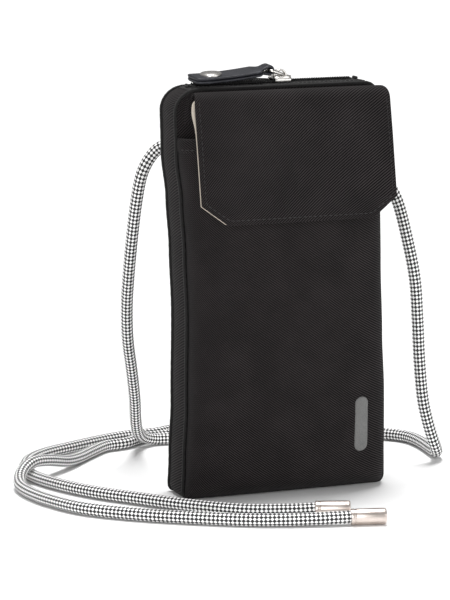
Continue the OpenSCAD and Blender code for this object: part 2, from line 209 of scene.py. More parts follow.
def twill(name, dark, light, slope, pitch=0.97, soft=0.85, sideways=False):
    """Diagonal wales made of short floats, climbing to the right by slope degrees, with painted shade in the
    grooves between them. sideways swaps U and V.
    """
    s = Shader(name, 0.85, Sheen_Weight=0.03, Sheen_Roughness=0.5, Specular_IOR_Level=0.12)
    u, v = s.split("UV")[:2]
    if sideways:
        u, v = v, u
    c, d = math.cos(math.radians(slope)), math.sin(math.radians(slope))
    across = s.minus(s.times(v, c), s.times(u, d))
    along = s.add(s.times(u, c), s.times(v, d))
    ridge = s.wave(across, pitch * MM)
    half = s.times(across, math.pi / (pitch * MM))
    floats = s.wave(along, 0.9 * MM)
    floats_b = s.wave(along, 0.9 * MM, math.pi)
    side = s.math("GREATER_THAN", s.math("COSINE", half), 0.0)
    step = s.add(s.times(floats, side), s.times(floats_b, s.minus(1.0, side)))
    thread = s.times(ridge, s.add(s.times(step, 0.35), 0.65))
    fuzz = s.noise(2600, 2)
    patch = s.noise(55, 3)
    # The float pattern is the weave's own, but the tone follows the wales' relief, so the grooves between
    # wales are painted near black as shade.
    tone = s.add(s.times(thread, soft), s.times(fuzz, 0.25))
    tone = s.add(tone, s.times(s.ramp(patch, 0.35, 0.7), 0.16))
    height = s.add(thread, s.times(fuzz, 0.3))
    rough = s.add(s.times(patch, 0.2), 0.7)
    return s.finish(s.colours(tone, (0.4, dark), (0.94, light)), height, 0.16, rough)


def plain_weave(name, dark, light, pitch=0.5, depth=0.08, rough=0.8, sheen=0.1):
    """Over and under threads in a plain weave, from the UVs."""
    s = Shader(name, rough, Sheen_Weight=sheen, Specular_IOR_Level=0.25)
    u, v = s.split("UV")[:2]
    a = s.wave(u, pitch * MM)
    b = s.wave(v, pitch * MM)
    over = s.add(s.times(a, b), s.times(s.minus(1.0, a), s.minus(1.0, b)))
    fuzz = s.noise(1800, 2)
    stain = s.noise(70, 3)
    tone = s.add(s.times(over, 0.5), s.times(fuzz, 0.3))
    tone = s.add(tone, s.times(stain, 0.2))
    return s.finish(s.colours(tone, (0.15, dark), (0.9, light)), s.add(over, s.times(fuzz, 0.3)), depth)


BRAID_ROUND, BRAID_PITCH = 10, 2.0  # diamonds round the cord, and millimetres from one to the next


def braid(name):
    """Black diamonds in straight rows on white. U runs round the cord in turns and V along it in metres."""
    s = Shader(name, 0.62, Sheen_Weight=0.1, Specular_IOR_Level=0.35)
    u, v = s.split("UV")[:2]
    cu = s.math("COSINE", s.times(u, 2 * math.pi * BRAID_ROUND))
    cv = s.math("COSINE", s.times(v, 2 * math.pi / (BRAID_PITCH * MM)))
    both = s.add(cu, cv)
    fibre = s.wave(s.add(v, s.times(u, BRAID_ROUND * BRAID_PITCH * MM)), 0.22 * MM)
    fuzz = s.noise(2200, 2)
    edge = s.add(both, s.times(s.minus(fuzz, 0.5), 0.5))
    mask = s.ramp(edge, -0.15, -0.04)
    grey = s.minus(mask, s.times(fibre, 0.03))
    colour = s.colours(grey, (0.0, (0.96, 0.955, 0.95)), (1.0, (0.003, 0.003, 0.0035)))
    puff = s.math("ABSOLUTE", both)
    height = s.add(s.times(puff, 0.7), s.times(fibre, 0.25))
    return s.finish(colour, height, 0.05)


def metal(name, low, high, rough=0.28, scratch=0.35):
    """Plated metal with fine rubbed scratches and slightly uneven polish."""
    s = Shader(name, rough, 1.0)
    fine = s.noise(1500, 4)
    cloud = s.noise(160, 3)
    tone = s.add(s.times(fine, scratch), s.times(cloud, 1 - scratch))
    shine = s.add(s.times(cloud, 0.2), rough - 0.1)
    return s.finish(s.colours(tone, (0.3, low), (0.7, high)), fine, 0.01, shine)


def leather(name, dark, light):
    """Fine pebbled grain with creases, and wear that lightens the tops."""
    s = Shader(name, 0.45, Coat_Weight=0.04, Coat_Roughness=0.35, Specular_IOR_Level=0.35)
    pebble = s.cells(1500, "SMOOTH_F1")
    crease = s.cells(700, "DISTANCE_TO_EDGE")
    cloud = s.noise(120, 4)
    fine = s.noise(3000, 2)
    height = s.add(s.times(pebble, -0.8), s.math("MINIMUM", s.times(crease, 2.5), 0.5))
    height = s.add(height, s.times(fine, 0.25))
    tone = s.add(s.times(cloud, 0.7), s.times(pebble, 0.4))
    rough = s.add(s.times(cloud, 0.25), 0.33)
    return s.finish(s.colours(tone, (0.3, dark), (0.85, light)), height, 0.09, rough)


def speckled(name, dark, light, rough=0.7, scale=900, depth=0.05):
    """Foam, board, rubber and thread: a fine mottled surface with no direction."""
    s = Shader(name, rough, Specular_IOR_Level=0.3)
    grain = s.noise(scale, 4)
    cloud = s.noise(90, 3)
    tone = s.add(s.times(grain, 0.6), s.times(cloud, 0.4))
    return s.finish(s.colours(tone, (0.25, dark), (0.75, light)), grain, depth)


# The first colour is painted shade in the grooves between wales. The second is the wale tops' own tone.
TWILL_GROOVE_SHADE, TWILL_LIGHT = (0.0006, 0.0005, 0.0005), (0.0405, 0.0345, 0.0355)
LOOK = {
    "twill": twill("twill", TWILL_GROOVE_SHADE, TWILL_LIGHT, 41, pitch=1.02),
    "twill_side": twill("twill_side", TWILL_GROOVE_SHADE, TWILL_LIGHT, 22, pitch=1.25, sideways=True),
    "twill_front": twill("twill_front", TWILL_GROOVE_SHADE, TWILL_LIGHT, -36),
    "binding": plain_weave("binding", (0.003, 0.003, 0.003), (0.022, 0.021, 0.021), pitch=0.45),
    "lining": plain_weave("lining", (0.02, 0.018, 0.018), (0.075, 0.07, 0.07), pitch=0.4, rough=0.6),
    "beige": plain_weave("beige", (0.38, 0.33, 0.27), (0.74, 0.67, 0.58), pitch=0.5),
    "tape": plain_weave("tape", (0.004, 0.004, 0.004), (0.035, 0.033, 0.033), pitch=0.6, depth=0.12),
    "coil": speckled("coil", (0.006, 0.006, 0.006), (0.02, 0.02, 0.02), rough=0.35),
    "thread": speckled("thread", (0.008, 0.007, 0.008), (0.036, 0.034, 0.035), rough=0.55, scale=2500),
    "foam": speckled("foam", (0.2, 0.2, 0.2), (0.36, 0.36, 0.35), rough=0.9, scale=1400, depth=0.2),
    "board": speckled("board", (0.16, 0.16, 0.16), (0.28, 0.28, 0.27), rough=0.6, scale=500),
    "patch": speckled("patch", (0.1, 0.1, 0.1), (0.2, 0.2, 0.195), rough=0.55, scale=1600, depth=0.04),
    "metal": metal("metal", (0.62, 0.6, 0.57), (0.83, 0.81, 0.78)),
    "cap_metal": metal("cap_metal", (0.66, 0.58, 0.53), (0.8, 0.72, 0.67), rough=0.36, scratch=0.3),
    "leather": leather("leather", (0.004, 0.005, 0.008), (0.05, 0.051, 0.062)),
    "braid": braid("braid"),
}

# ---- formulas ----


def unit(value):
    """The value, held between 0 and 1."""
    return min(1, max(0, value))


def ease(t):
    """A smooth step from 0 to 1."""
    return t * t * (3 - 2 * t)


def power(value, exponent):
    """The value's size to a power, with its sign kept. Below 1 it squares up a circle."""
    return math.copysign(abs(value) ** exponent, value)


def crowd(t, exponent):
    """Moves t, from -1 to 1, towards the end that it is nearer to."""
    return math.copysign(1 - (1 - abs(t)) ** exponent, t)


def round_angles(count):
    """Angles evenly spaced round a circle."""
    return [2 * math.pi * k / count for k in range(count)]


# ---- mesh helpers: points are in millimetres ----


def place(obj_name, verts, faces, uvs, looks, slot, body, smooth=True):
    """Makes a mesh object from points in millimetres, with UVs in metres, and lets it ride on a body."""
    mesh = bpy.data.meshes.new(obj_name)
    mesh.from_pydata([tuple(c * MM for c in v) for v in verts], [], faces)
    layer = mesh.uv_layers.new(name="UVMap")
    if uvs:
        flat = [c * MM for face in uvs for uv in face for c in uv]
        layer.data.foreach_set("uv", flat)
    for look in looks:
        mesh.materials.append(LOOK[look])
    mesh.polygons.foreach_set("use_smooth", [smooth] * len(mesh.polygons))
    mesh.update()
    obj = bpy.data.objects.new(obj_name, mesh)
    SCENE.collection.objects.link(obj)
    if body:
        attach(obj, body)
    return obj


def gaps(points, closed=False):
    total, out = 0.0, [0.0]
    ends = points[1:] + (points[:1] if closed else [])
    for a, b in zip(points, ends):
        total += math.dist(a, b)
        out.append(total)
    return out


def grid(name, rows, looks, slot, body, closed=False, keep=None, outward=None):
    """A quad surface over rows of points. U is the length along a row and V the length along a column."""
    n, m = len(rows[0]), len(rows)
    cols = n if closed else n - 1
    us = []
    for row in rows:
        run = gaps(row, closed)
        middle = run[len(run) // 2]
        us.append([x - middle for x in run])
    vs = [gaps([row[k % n] for row in rows]) for k in range(cols + 1)]
    faces, uvs = [], []
    for i in range(m - 1):
        for k in range(cols):
            if keep and not keep(i, k):
                continue
            k2 = (k + 1) % n
            faces.append((i * n + k, i * n + k2, (i + 1) * n + k2, (i + 1) * n + k))
            uvs.append([(us[a][b], vs[b][a]) for a, b in ((i, k), (i, k + 1), (i + 1, k + 1), (i + 1, k))])
    obj = place(name, [p for row in rows for p in row], faces, uvs, looks, slot, body)
    if outward is not None:
        face_away(obj, Vector(outward) * MM)
    return obj


def face_away(obj, centre):
    """Turns the whole surface so that its normals point away from a point inside."""
    mesh = obj.data
    if sum(p.normal.dot(p.center - centre) * p.area for p in mesh.polygons) < 0:
        mesh.flip_normals()


def join(first, *others):
    """Adds the other meshes to the first object."""
    bm = bmesh.new()
    looks = list(first.data.materials)
    bm.from_mesh(first.data)
    for o in others:
        start = len(bm.faces)
        bm.from_mesh(o.data)
        bm.faces.ensure_lookup_table()
        moved = {i: looks.index(m) for i, m in enumerate(o.data.materials) if m in looks}
        for f in bm.faces[start:]:
            f.material_index = moved.get(f.material_index, 0)
        bpy.data.objects.remove(o)
    bm.to_mesh(first.data)
    bm.free()
    return first


def settle(obj):
    """Applies the object's modifiers."""
    bpy.context.view_layer.update()
    made = bpy.data.meshes.new_from_object(obj.evaluated_get(bpy.context.evaluated_depsgraph_get()))
    obj.modifiers.clear()
    old, name = obj.data, obj.data.name
    obj.data = made
    bpy.data.meshes.remove(old)
    made.name = name
    return obj


def thicken(obj, depth, inner=0, offset=-1):
    """Gives a surface its thickness in millimetres, inward, with the inner face in another material."""
    mod = obj.modifiers.new("thick", "SOLIDIFY")
    mod.thickness = depth * MM
    mod.offset = offset
    mod.material_offset = inner
    mod.use_even_offset = False
    return settle(obj)


def rounded(obj, width, segments=3):
    """Bevels the sharp edges of a body."""
    mod = obj.modifiers.new("edges", "BEVEL")
    mod.width = width * MM
    mod.segments = segments
    mod.limit_method = "ANGLE"
    mod.angle_limit = math.radians(40)
    return settle(obj)


def revolve(name, profile, matrix, look, slot, body, steps=64):
    """A profile of (radius, height) turned about local Z and placed by a matrix in millimetres."""
    verts, faces, uvs = [], [], []
    n = len(profile)
    lengths = gaps([(r, 0, z) for r, z in profile])
    for k in range(steps):
        a = 2 * math.pi * k / steps
        verts += [matrix @ Vector((r * math.cos(a), r * math.sin(a), z)) for r, z in profile]
    for k in range(steps):
        k2 = (k + 1) % steps
        for i in range(n - 1):
            faces.append((k * n + i, k2 * n + i, k2 * n + i + 1, k * n + i + 1))
            u0, u1 = (2 * math.pi * (k + d) / steps * max(r for r, _ in profile) for d in (0, 1))
            uvs.append([(u0, lengths[i]), (u1, lengths[i]), (u1, lengths[i + 1]), (u0, lengths[i + 1])])
    obj = place(name, verts, faces, uvs, [look], slot, body)
    bm = bmesh.new()
    bm.from_mesh(obj.data)
    bmesh.ops.remove_doubles(bm, verts=bm.verts, dist=0.002 * MM)
    bmesh.ops.recalc_face_normals(bm, faces=bm.faces)
    bm.to_mesh(obj.data)
    bm.free()
    mod = obj.modifiers.new("sharp", "EDGE_SPLIT")
    mod.split_angle = math.radians(42)
    return settle(obj)


def carried_frames(points, side, closed=False):
    """A side and a second vector at each point, carried along so that a tube doesn't twist."""
    out = []
    n = len(points)
    for i, p in enumerate(points):
        before = points[i - 1] if i or closed else p
        after = points[(i + 1) % n] if i < n - 1 or closed else p
        t = (Vector(after) - Vector(before)).normalized()
        side = (side - side.dot(t) * t).normalized()
        out.append((side, t.cross(side)))
    return out


def tube(
    name, points, radius, looks, slot, body,
    sides=12, closed=False, relief=None, turns_uv=False, side=(0.1, 0.2, 1),
):
    """A round tube along points. relief adds height at a place, given as turns round it and a run along."""
    frames = carried_frames(points, Vector(side), closed)
    run = gaps([tuple(p) for p in points], closed)
    rows = []
    for i, (p, (a, b)) in enumerate(zip(points, frames)):
        row = []
        for k in range(sides):
            w = 2 * math.pi * k / sides
            rr = radius + (relief(k / sides, run[i]) if relief else 0)
            row.append(tuple(Vector(p) + rr * (math.cos(w) * a + math.sin(w) * b)))
        rows.append(row)
    n, m = sides, len(rows)
    faces, uvs = [], []
    for i in range(m if closed else m - 1):
        i2 = (i + 1) % m
        for k in range(n):
            k2 = (k + 1) % n
            faces.append((i * n + k, i * n + k2, i2 * n + k2, i2 * n + k))
            wide = 1 / MM if turns_uv else 2 * math.pi * radius
            uvs.append([(wide * c / n, run[j]) for c, j in ((k, i), (k + 1, i), (k + 1, i + 1), (k, i + 1))])
    if not closed:
        for i, order in ((0, range(n - 1, -1, -1)), (m - 1, range(n))):
            faces.append(tuple(i * n + k for k in order))
            uvs.append([(0.0, run[i])] * n)
    return place(name, [p for row in rows for p in row], faces, uvs, looks, slot, body)


def loft(name, sections, looks, slot, body):
    """A closed body through closed sections, with its two ends closed."""
    n, m = len(sections[0]), len(sections)
    around = [gaps(s, True) for s in sections]
    along = gaps([s[0] for s in sections])
    faces, uvs = [], []
    for i in range(m - 1):
        for k in range(n):
            k2 = (k + 1) % n
            faces.append((i * n + k, i * n + k2, (i + 1) * n + k2, (i + 1) * n + k))
            corners = ((i, k), (i, k + 1), (i + 1, k + 1), (i + 1, k))
            uvs.append([(around[j][c], along[j]) for j, c in corners])
    for i, order in ((0, range(n - 1, -1, -1)), (m - 1, range(n))):
        faces.append(tuple(i * n + k for k in order))
        uvs.append([(0.0, along[i])] * n)
    obj = place(name, [p for s in sections for p in s], faces, uvs, looks, slot, body)
    bm = bmesh.new()
    bm.from_mesh(obj.data)
    bmesh.ops.recalc_face_normals(bm, faces=bm.faces)
    bm.to_mesh(obj.data)
    bm.free()
    return obj


def resample(points, step):
    """Points evenly spaced along a broken line, ends kept."""
    run = gaps([tuple(p) for p in points])
    count = max(1, round(run[-1] / step))
    out, i = [], 0
    for k in range(count + 1):
        d = run[-1] * k / count
        while i < len(points) - 2 and run[i + 1] < d:
            i += 1
        t = (d - run[i]) / max(1e-9, run[i + 1] - run[i])
        out.append(Vector(points[i]).lerp(Vector(points[i + 1]), min(1, t)))
    return out


# Rings of one stitch, which dips at its ends: (place along it, size, lift) as shares of its length and radius
STITCH_RINGS = [(-0.5, 0.35, -0.5), (-0.32, 0.95, 0.35), (0, 1.1, 0.7), (0.32, 0.95, 0.35), (0.5, 0.35, -0.5)]


def stitches(name, path, out, body, pitch=2.6, length=1.9):
    """A row of thread stitches along path. out gives the outward direction at a point."""
    verts, faces = [], []
    sides, radius = 6, 0.2
    points = resample(path, pitch)
    for a, b in zip(points, points[1:]):
        middle, t = (a + b) / 2, (b - a).normalized()
        up = Vector(out(middle)).normalized()
        up = (up - up.dot(t) * t).normalized()
        across = t.cross(up)
        start = len(verts)
        for place_on, size, lift in STITCH_RINGS:
            c = middle + t * length * place_on + up * radius * lift
            for k in range(sides):
                w = 2 * math.pi * k / sides
                verts.append(c + radius * size * (math.cos(w) * across + math.sin(w) * up))
        for i in range(4):
            for k in range(sides):
                k2 = (k + 1) % sides
                q = start + i * sides
                faces.append((q + k, q + k2, q + sides + k2, q + sides + k))
        faces.append(tuple(start + k for k in range(sides - 1, -1, -1)))
        faces.append(tuple(start + 4 * sides + k for k in range(sides)))
    return place(name, verts, faces, None, ["thread"], "piping", body)


def ripple(x, y, z, size, seed):
    """Smooth unevenness from -1 to 1 with features about size millimetres across."""
    return noise.noise(Vector((x / size + seed, y / size, z / size)))


CLOTH_FRAMES = 20


def inflate(obj, pinned, crown):
    """Swells a panel as cloth, its border pinned, and scales the most it moved to crown millimetres."""
    group = obj.vertex_groups.new(name="pinned")
    group.add([v.index for v in obj.data.vertices if pinned(v.co / MM)], 1.0, "REPLACE")
    mod = obj.modifiers.new("cloth", "CLOTH")
    cloth = mod.settings
    cloth.quality = 6
    cloth.mass = 0.002
    cloth.use_pressure = True
    cloth.uniform_pressure_force = 30.0
    cloth.vertex_group_mass = "pinned"
    cloth.effector_weights.gravity = 0
    mod.collision_settings.use_collision = False
    mod.point_cache.frame_start, mod.point_cache.frame_end = 1, CLOTH_FRAMES
    for frame_number in range(1, CLOTH_FRAMES + 1):
        SCENE.frame_set(frame_number)
    made = obj.evaluated_get(bpy.context.evaluated_depsgraph_get()).data
    moves = [a.co - b.co for a, b in zip(made.vertices, obj.data.vertices)]
    most = max(m.length for m in moves)
    scale = crown * MM / most if most > 0.02 * MM else 0
    for v, m in zip(obj.data.vertices, moves):
        v.co += m * scale
    obj.modifiers.remove(mod)
    obj.vertex_groups.clear()
    SCENE.frame_set(1)
    obj.data.update()


# ---- cords ----

LEFT_ROUTE = [
    (-43, 6, 168), (-43, 14, 168), (-45, 20.5, 168), (-50, 25, 166), (-56.5, 27.5, 156),
    (-58.5, 32, 142), (-59, 39, 122), (-58.5, 47, 102), (-57, 55.5, 84), (-54, 64, 66),
    (-49, 74, 49), (-44, 85, 32), (-40, 96, 17), (-36, 104.5, 9), (-31, 110.5, 5),
    (-23, 113, 3), (-10, 109.5, 3), (8, 105, 3), (26, 103, 3.6), (38, 105, 7.6),
    (46.5, 111.5, 9.6), (47, 120.5, 8), (40, 128, 4), (27, 132, 3), (8, 134, 3),
    (-9, 131.5, 3), (-20, 126.5, 3), (-36, 126, 3), (-52, 120.5, 3), (-71, 111, 3),
    (-88, 101.5, 3), (-99.5, 89, 3), (-106.5, 71, 3), (-106.5, 52, 3), (-99.5, 30, 3),
    (-89, 9.5, 3), (-75, -9, 3), (-57, -31, 3), (-36, -50.5, 3), (-16, -60.3, 3.4),
    (-4.7, -64.5, 3.8),
]
RIGHT_ROUTE = [
    (43, 6, 168), (43, 14, 168), (45, 20.5, 168), (51, 25, 165), (60, 25, 155.5),
    (68, 23.5, 145), (74, 22, 135), (79, 20.5, 115), (82.5, 19, 95), (84, 19, 74),
    (85, 19, 54), (87, 19, 33), (91, 19.5, 17.5), (95, 21.5, 8), (98.5, 27.5, 3.6),
    (100, 38, 3), (101.5, 52, 3), (101, 66, 3), (96, 75.5, 3), (87, 83, 3),
    (74, 92, 3), (60, 102, 3), (46, 110, 3), (32, 116, 3), (12, 119, 3),
    (-10, 119, 3), (-28, 119.5, 3), (-34, 115.5, 3), (-42, 109.5, 3), (-53, 107.5, 3),
    (-63, 98, 3), (-72, 88, 3), (-84, 74.5, 4.5), (-96, 64.5, 8), (-107, 56.5, 9.6),
    (-115, 48.5, 6.5), (-118.5, 38, 3.2), (-118.5, 22, 3), (-114, 2, 3), (-104, -20, 3),
    (-86, -39, 3), (-66, -54, 3), (-40, -70, 3), (-14, -80.5, 3.4), (4.6, -85.5, 3.8),
]


def smooth_route(route, step=0.5):
    """A rounded curve through the route's points that never sinks into the floor."""
    pts = [Vector(p) for p in route]
    pts = [2 * pts[0] - pts[1], *pts, 2 * pts[-1] - pts[-2]]
    out = []
    for a, b, c, d in zip(pts, pts[1:], pts[2:], pts[3:]):
        parts = 12
        for k in range(parts):
            t = k / parts
            square = (2 * a - 5 * b + 4 * c - d) * t * t
            cube = (3 * b - 3 * c + d - a) * t * t * t
            out.append(0.5 * (2 * b + (c - a) * t + square + cube))
    out.append(pts[-2])
    out = resample(out, step)
    for _ in range(40):
        eased_line = [(a + b + c) / 3 for a, b, c in zip(out, out[1:], out[2:])]
        out = [out[0], *eased_line, out[-1]]
    for p in out:
        p.z = max(p.z, CORD_R + 0.05)
    return resample(out, step)


def braid_relief(turn, run):
    """Each diamond of the braid puffs out between the gaps around it."""
    both = math.cos(2 * math.pi * turn * BRAID_ROUND) + math.cos(2 * math.pi * run / BRAID_PITCH)
    return 0.11 * (abs(both) / 2 - 0.5)


def cap_profile():
    """Outline of a metal cord end: a rolled lip, a turned neck groove, a straight barrel and a domed end."""
    r, length = CAP_R, CAP_L
    return [
        (3.05, 0.9), (3.1, 0.3), (3.4, 0.0), (r - 0.35, 0.0), (r - 0.08, 0.12), (r, 0.4),
        (r, 1.5), (r - 0.06, 1.7), (r - 0.22, 1.85), (r - 0.22, 2.15), (r - 0.06, 2.3), (r, 2.5),
        (r, length - 0.9), (r - 0.1, length - 0.5), (r - 0.35, length - 0.2), (r - 0.8, length - 0.05),
        (r - 1.8, length), (0.0, length + 0.05),
    ]


def make_cord(side, route):
    line = smooth_route(route)
    obj = tube(
        f"cord_{side}_braid", line, CORD_R - 0.02, ["braid"], "braid", "pouch",
        sides=40, relief=braid_relief, turns_uv=True,
    )
    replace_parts(obj, f"cord_{side}")
    d = Vector(route[-1]) - Vector(route[-2])
    z_turn = Matrix.Rotation(math.atan2(d.y, d.x), 4, "Z") @ Matrix.Rotation(math.radians(90), 4, "Y")
    at = Matrix.Translation(route[-1]) @ z_turn
    cap = revolve(f"cord_{side}_end", cap_profile(), at, "cap_metal", "cap_metal", "pouch")
    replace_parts(cap, f"cord_cap_{side}")
    length = gaps([tuple(p) for p in line])[-1]


def make_knot(side):
    """A stopper knot inside the pouch, in the same braid."""
    sign = -1 if side == "left" else 1
    centre = Vector((sign * EYELET_X, 1.6, EYELET_Z))
    line = []
    for k in range(72):
        t = 2 * math.pi * k / 72
        x = math.sin(t) + 2 * math.sin(2 * t)
        z = math.cos(t) - 2 * math.cos(2 * t)
        line.append(centre + Vector((1.05 * x, 1.2 * -math.sin(3 * t), 1.05 * z)))
    obj = tube(f"knot_{side}", line, 1.7, ["braid"], "braid", "pouch", sides=20, closed=True, turns_uv=True)
    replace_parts(obj, f"cord_knot_{side}")


def make_eyelet(side):
    sign = -1 if side == "left" else 1
    profile = [
        (3.15, 7.9), (3.15, 12.4), (3.35, 12.8), (3.9, 12.98), (4.8, 12.9), (5.5, 12.6), (5.8, 12.2),
        (5.75, 12.0), (4.1, 11.95), (4.0, 8.2), (5.7, 8.15), (5.8, 7.8), (5.4, 7.5), (4.0, 7.4),
        (3.3, 7.55), (3.15, 7.9),
    ]
    turn = Matrix.Translation((sign * EYELET_X, 0, EYELET_Z)) @ Matrix.Rotation(math.radians(-90), 4, "X")
    obj = revolve(f"eyelet_{side}_ring", profile, turn, "metal", "metal", "pouch", 48)
    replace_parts(obj, f"eyelet_{side}")


# ---- pouch ----

TOP_PARTS, ARC_PARTS, LEFT_PARTS, LOW_PARTS, RIGHT_PARTS = 16, 14, 110, 34, 64


def outline():
    """Points (x, z, normal x, normal z) round the pouch from the middle of its top, left side first."""
    out = []

    def straight(a, b, count, n):
        for k in range(count):
            t = k / count
            out.append((a[0] + (b[0] - a[0]) * t, a[1] + (b[1] - a[1]) * t, *n))

    def arc(cx, cz, r, a0, count):
        for k in range(count):
            a = math.radians(a0 + 90 * k / count)
            out.append((cx + r * math.cos(a), cz + r * math.sin(a), math.cos(a), math.sin(a)))

    tx, bx = HALF_W - TOP_R, HALF_W - BOTTOM_R
    straight((0, HEIGHT), (-tx, HEIGHT), TOP_PARTS, (0, 1))
    arc(-tx, HEIGHT - TOP_R, TOP_R, 90, ARC_PARTS)
    straight((-HALF_W, HEIGHT - TOP_R), (-HALF_W, BOTTOM_R), LEFT_PARTS, (-1, 0))
    arc(-bx, BOTTOM_R, BOTTOM_R, 180, 5)
    straight((-bx, 0), (bx, 0), LOW_PARTS, (0, -1))
    arc(bx, BOTTOM_R, BOTTOM_R, 270, 5)
    straight((HALF_W, BOTTOM_R), (HALF_W, HEIGHT - TOP_R), RIGHT_PARTS, (1, 0))
    arc(tx, HEIGHT - TOP_R, TOP_R, 0, ARC_PARTS)
    straight((tx, HEIGHT), (0, HEIGHT), TOP_PARTS, (0, 1))
    return out


def half_width(z, w, low_r, high_r, top):
    """Half the width of a rounded outline at one height."""
    if z < low_r:
        return w - low_r + math.sqrt(max(0, low_r**2 - (low_r - z) ** 2))
    if z > top - high_r:
        return w - high_r + math.sqrt(max(0, high_r**2 - (z - top + high_r) ** 2))
    return w


def crowded(count, lo, hi, exponent=1.5):
    """Heights from lo to hi that crowd towards both ends."""
    out = []
    for k in range(count + 1):
        t = 2 * k / count - 1
        t = crowd(t, exponent)
        out.append(lo + (hi - lo) * (t + 1) / 2)
    return out


# How far each side of the soft pouch stands from its pattern, as (height, shift in X)
SWAY_LEFT = [(0, -0.8), (18, 0.0), (45, 1.4), (90, 2.2), (120, 1.4), (144, 0.1), (166, -2.0), (197, -2.4)]
SWAY_RIGHT = [(0, 2.4), (45, 2.6), (75, 1.6), (110, 0.8), (160, 0.2), (197, 0.0)]
PUFF, PUFF_X = 1.7, -7.0


def eased(table, z):
    """The value at z between a table's points, eased from one to the next."""
    z = min(max(z, table[0][0]), table[-1][0])
    for (z0, a), (z1, b) in zip(table, table[1:]):
        if z <= z1:
            t = (z - z0) / (z1 - z0)
            return a + (b - a) * ease(t)
    return table[-1][1]


def relax(*objs):
    """Lets the pouch's sides lean in and out with height and its back edge rise behind the pull."""
    for obj in objs:
        for v in obj.data.vertices:
            x, y, z = v.co / MM
            rear = unit((y - 6.5) / 3) * unit((z - HEIGHT + 4) / 4)
            v.co.z += PUFF * math.exp(-(((x - PUFF_X) / 15) ** 2)) * rear * MM
            share = ease(unit((abs(x) - 26) / 24))
            v.co.x += eased(SWAY_LEFT if x < 0 else SWAY_RIGHT, z) * share * MM
        obj.data.update()


def round_corner(*objs):
    """Draws the pouch's top left corner in to a wider curve than its pattern's, with all that is near."""
    corner_x, corner_z = HALF_W - SOFT_R, HEIGHT - SOFT_R
    step = SOFT_R - TOP_R
    for obj in objs:
        for v in obj.data.vertices:
            a, b = -v.co.x / MM - corner_x, v.co.z / MM - corner_z
            if min(a, b) <= 0:
                continue
            far = math.hypot(a, b)
            c, s = a / far, b / far
            if min(c, s) * SOFT_R < max(c, s) * step:
                pattern = SOFT_R / max(c, s)
            else:
                pattern = step * (c + s) + math.sqrt((step * (c + s)) ** 2 - 2 * step**2 + TOP_R**2)
            v.co.x = -(corner_x + a * SOFT_R / pattern) * MM
            v.co.z = (corner_z + b * SOFT_R / pattern) * MM
        obj.data.update()


def make_gusset():
    ring = outline()
    depths = [-8.5, -7.9, -7.1, -6.0, -4.4, -2.6, -0.6, 1.5, 3.6, 5.6, 7.4, 8.8, 9.9, 10.7, 11.3]
    low, high = depths[0], depths[-1]
    rows = []
    for y in depths:
        t = (y - low) / (high - low)
        crown = -0.75 + 1.15 * math.sin(math.pi * t) ** 0.55
        near = math.exp(-min(y - low, high - y) / 2.2)
        row = []
        run = 0
        for k, (x, z, nx, nz) in enumerate(ring):
            run += 3
            pucker = 0.16 * near * math.sin(run * 1.1 + 2 * ripple(x, y, z, 14, 3))
            soft = 0.35 * (1 - near) * ripple(x, y * 0.6, z, 24, 7)
            off = crown + pucker + soft
            on_top = nz > 0.9 and abs(x) < 44
            if on_top:
                off = min(off, 0.0) * 0.5 + (0.0 if off < 0 else 0.05)
            row.append((x + nx * off, y, max(0.15, z + nz * off)))
        rows.append(row)
    n = len(ring)

    def keep(i, k):
        x0, x1 = ring[k][0], ring[(k + 1) % n][0]
        on_top = ring[k][3] > 0.9 and ring[(k + 1) % n][3] > 0.9
        return not (on_top and max(abs(x0), abs(x1)) < HALF_W - TOP_R + 0.1 and 4 <= i < 10)

    looks = ["twill_side", "lining"]
    obj = grid("gusset_skin", rows, looks, "twill", "pouch", closed=True, keep=keep, outward=(0, ZIP_Y, 98))
    thicken(obj, SKIN_T, inner=1)
    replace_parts(obj, "gusset")


def panel_rows(inset, y_at, heights, columns):
    rows = []
    for z in heights:
        w = half_width(z - inset, HALF_W - inset, BOTTOM_R, TOP_R, HEIGHT - 2 * inset)
        row = []
        for k in range(columns + 1):
            t = 2 * k / columns - 1
            x = w * crowd(t, 1.4)
            row.append((x, y_at(x, z), z))
        rows.append(row)
    return rows


def edge_distance(x, z):
    return min(HALF_W - abs(x), z, HEIGHT - z)


def make_panels():
    def front(x, z):
        d = edge_distance(x, z)
        return SEAM_Y - 0.1 + 0.9 * math.exp(-d / 0.8) + 0.12 * ripple(x, 0, z, 20, 5)

    heights = crowded(60, 0.6, HEIGHT - 0.6)
    rows = panel_rows(0.6, front, heights, 30)
    obj = grid("middle_panel_skin", rows, ["twill", "lining"], "twill", "pouch", outward=(0, 5, 98))
    thicken(obj, SKIN_T, inner=1)
    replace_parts(obj, "middle_panel")

    def back(x, z):
        d = edge_distance(x, z)
        crown = 1.3 * (1 - abs(x / HALF_W) ** 3) * (1 - abs(z / HEIGHT * 2 - 1) ** 4)
        hollow = max(math.exp(-(((x - s * EYELET_X) ** 2 + (z - EYELET_Z) ** 2) / 120)) for s in (-1, 1))
        flat = BACK_Y - 0.15 - 0.9 * math.exp(-d / 0.9)
        return flat + crown * (1 - hollow) + 0.2 * ripple(x, 0, z, 22, 9) * (1 - hollow)

    heights = crowded(64, 0.6, HEIGHT - 0.6)
    rows = panel_rows(0.6, back, heights, 34)
    obj = grid("back_panel_skin", rows, ["twill_front", "lining"], "twill", "pouch", outward=(0, -5, 98))

    def pinned(p):
        hole = min(math.hypot(p.x - s * EYELET_X, p.z - EYELET_Z) for s in (-1, 1))
        return edge_distance(p.x, p.z) < 3.2 or hole < 8

    inflate(obj, pinned, 1.0)
    drill(obj, [(s * EYELET_X, EYELET_Z) for s in (-1, 1)], 3.6)
    thicken(obj, SKIN_T, inner=1)
    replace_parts(obj, "back_panel")


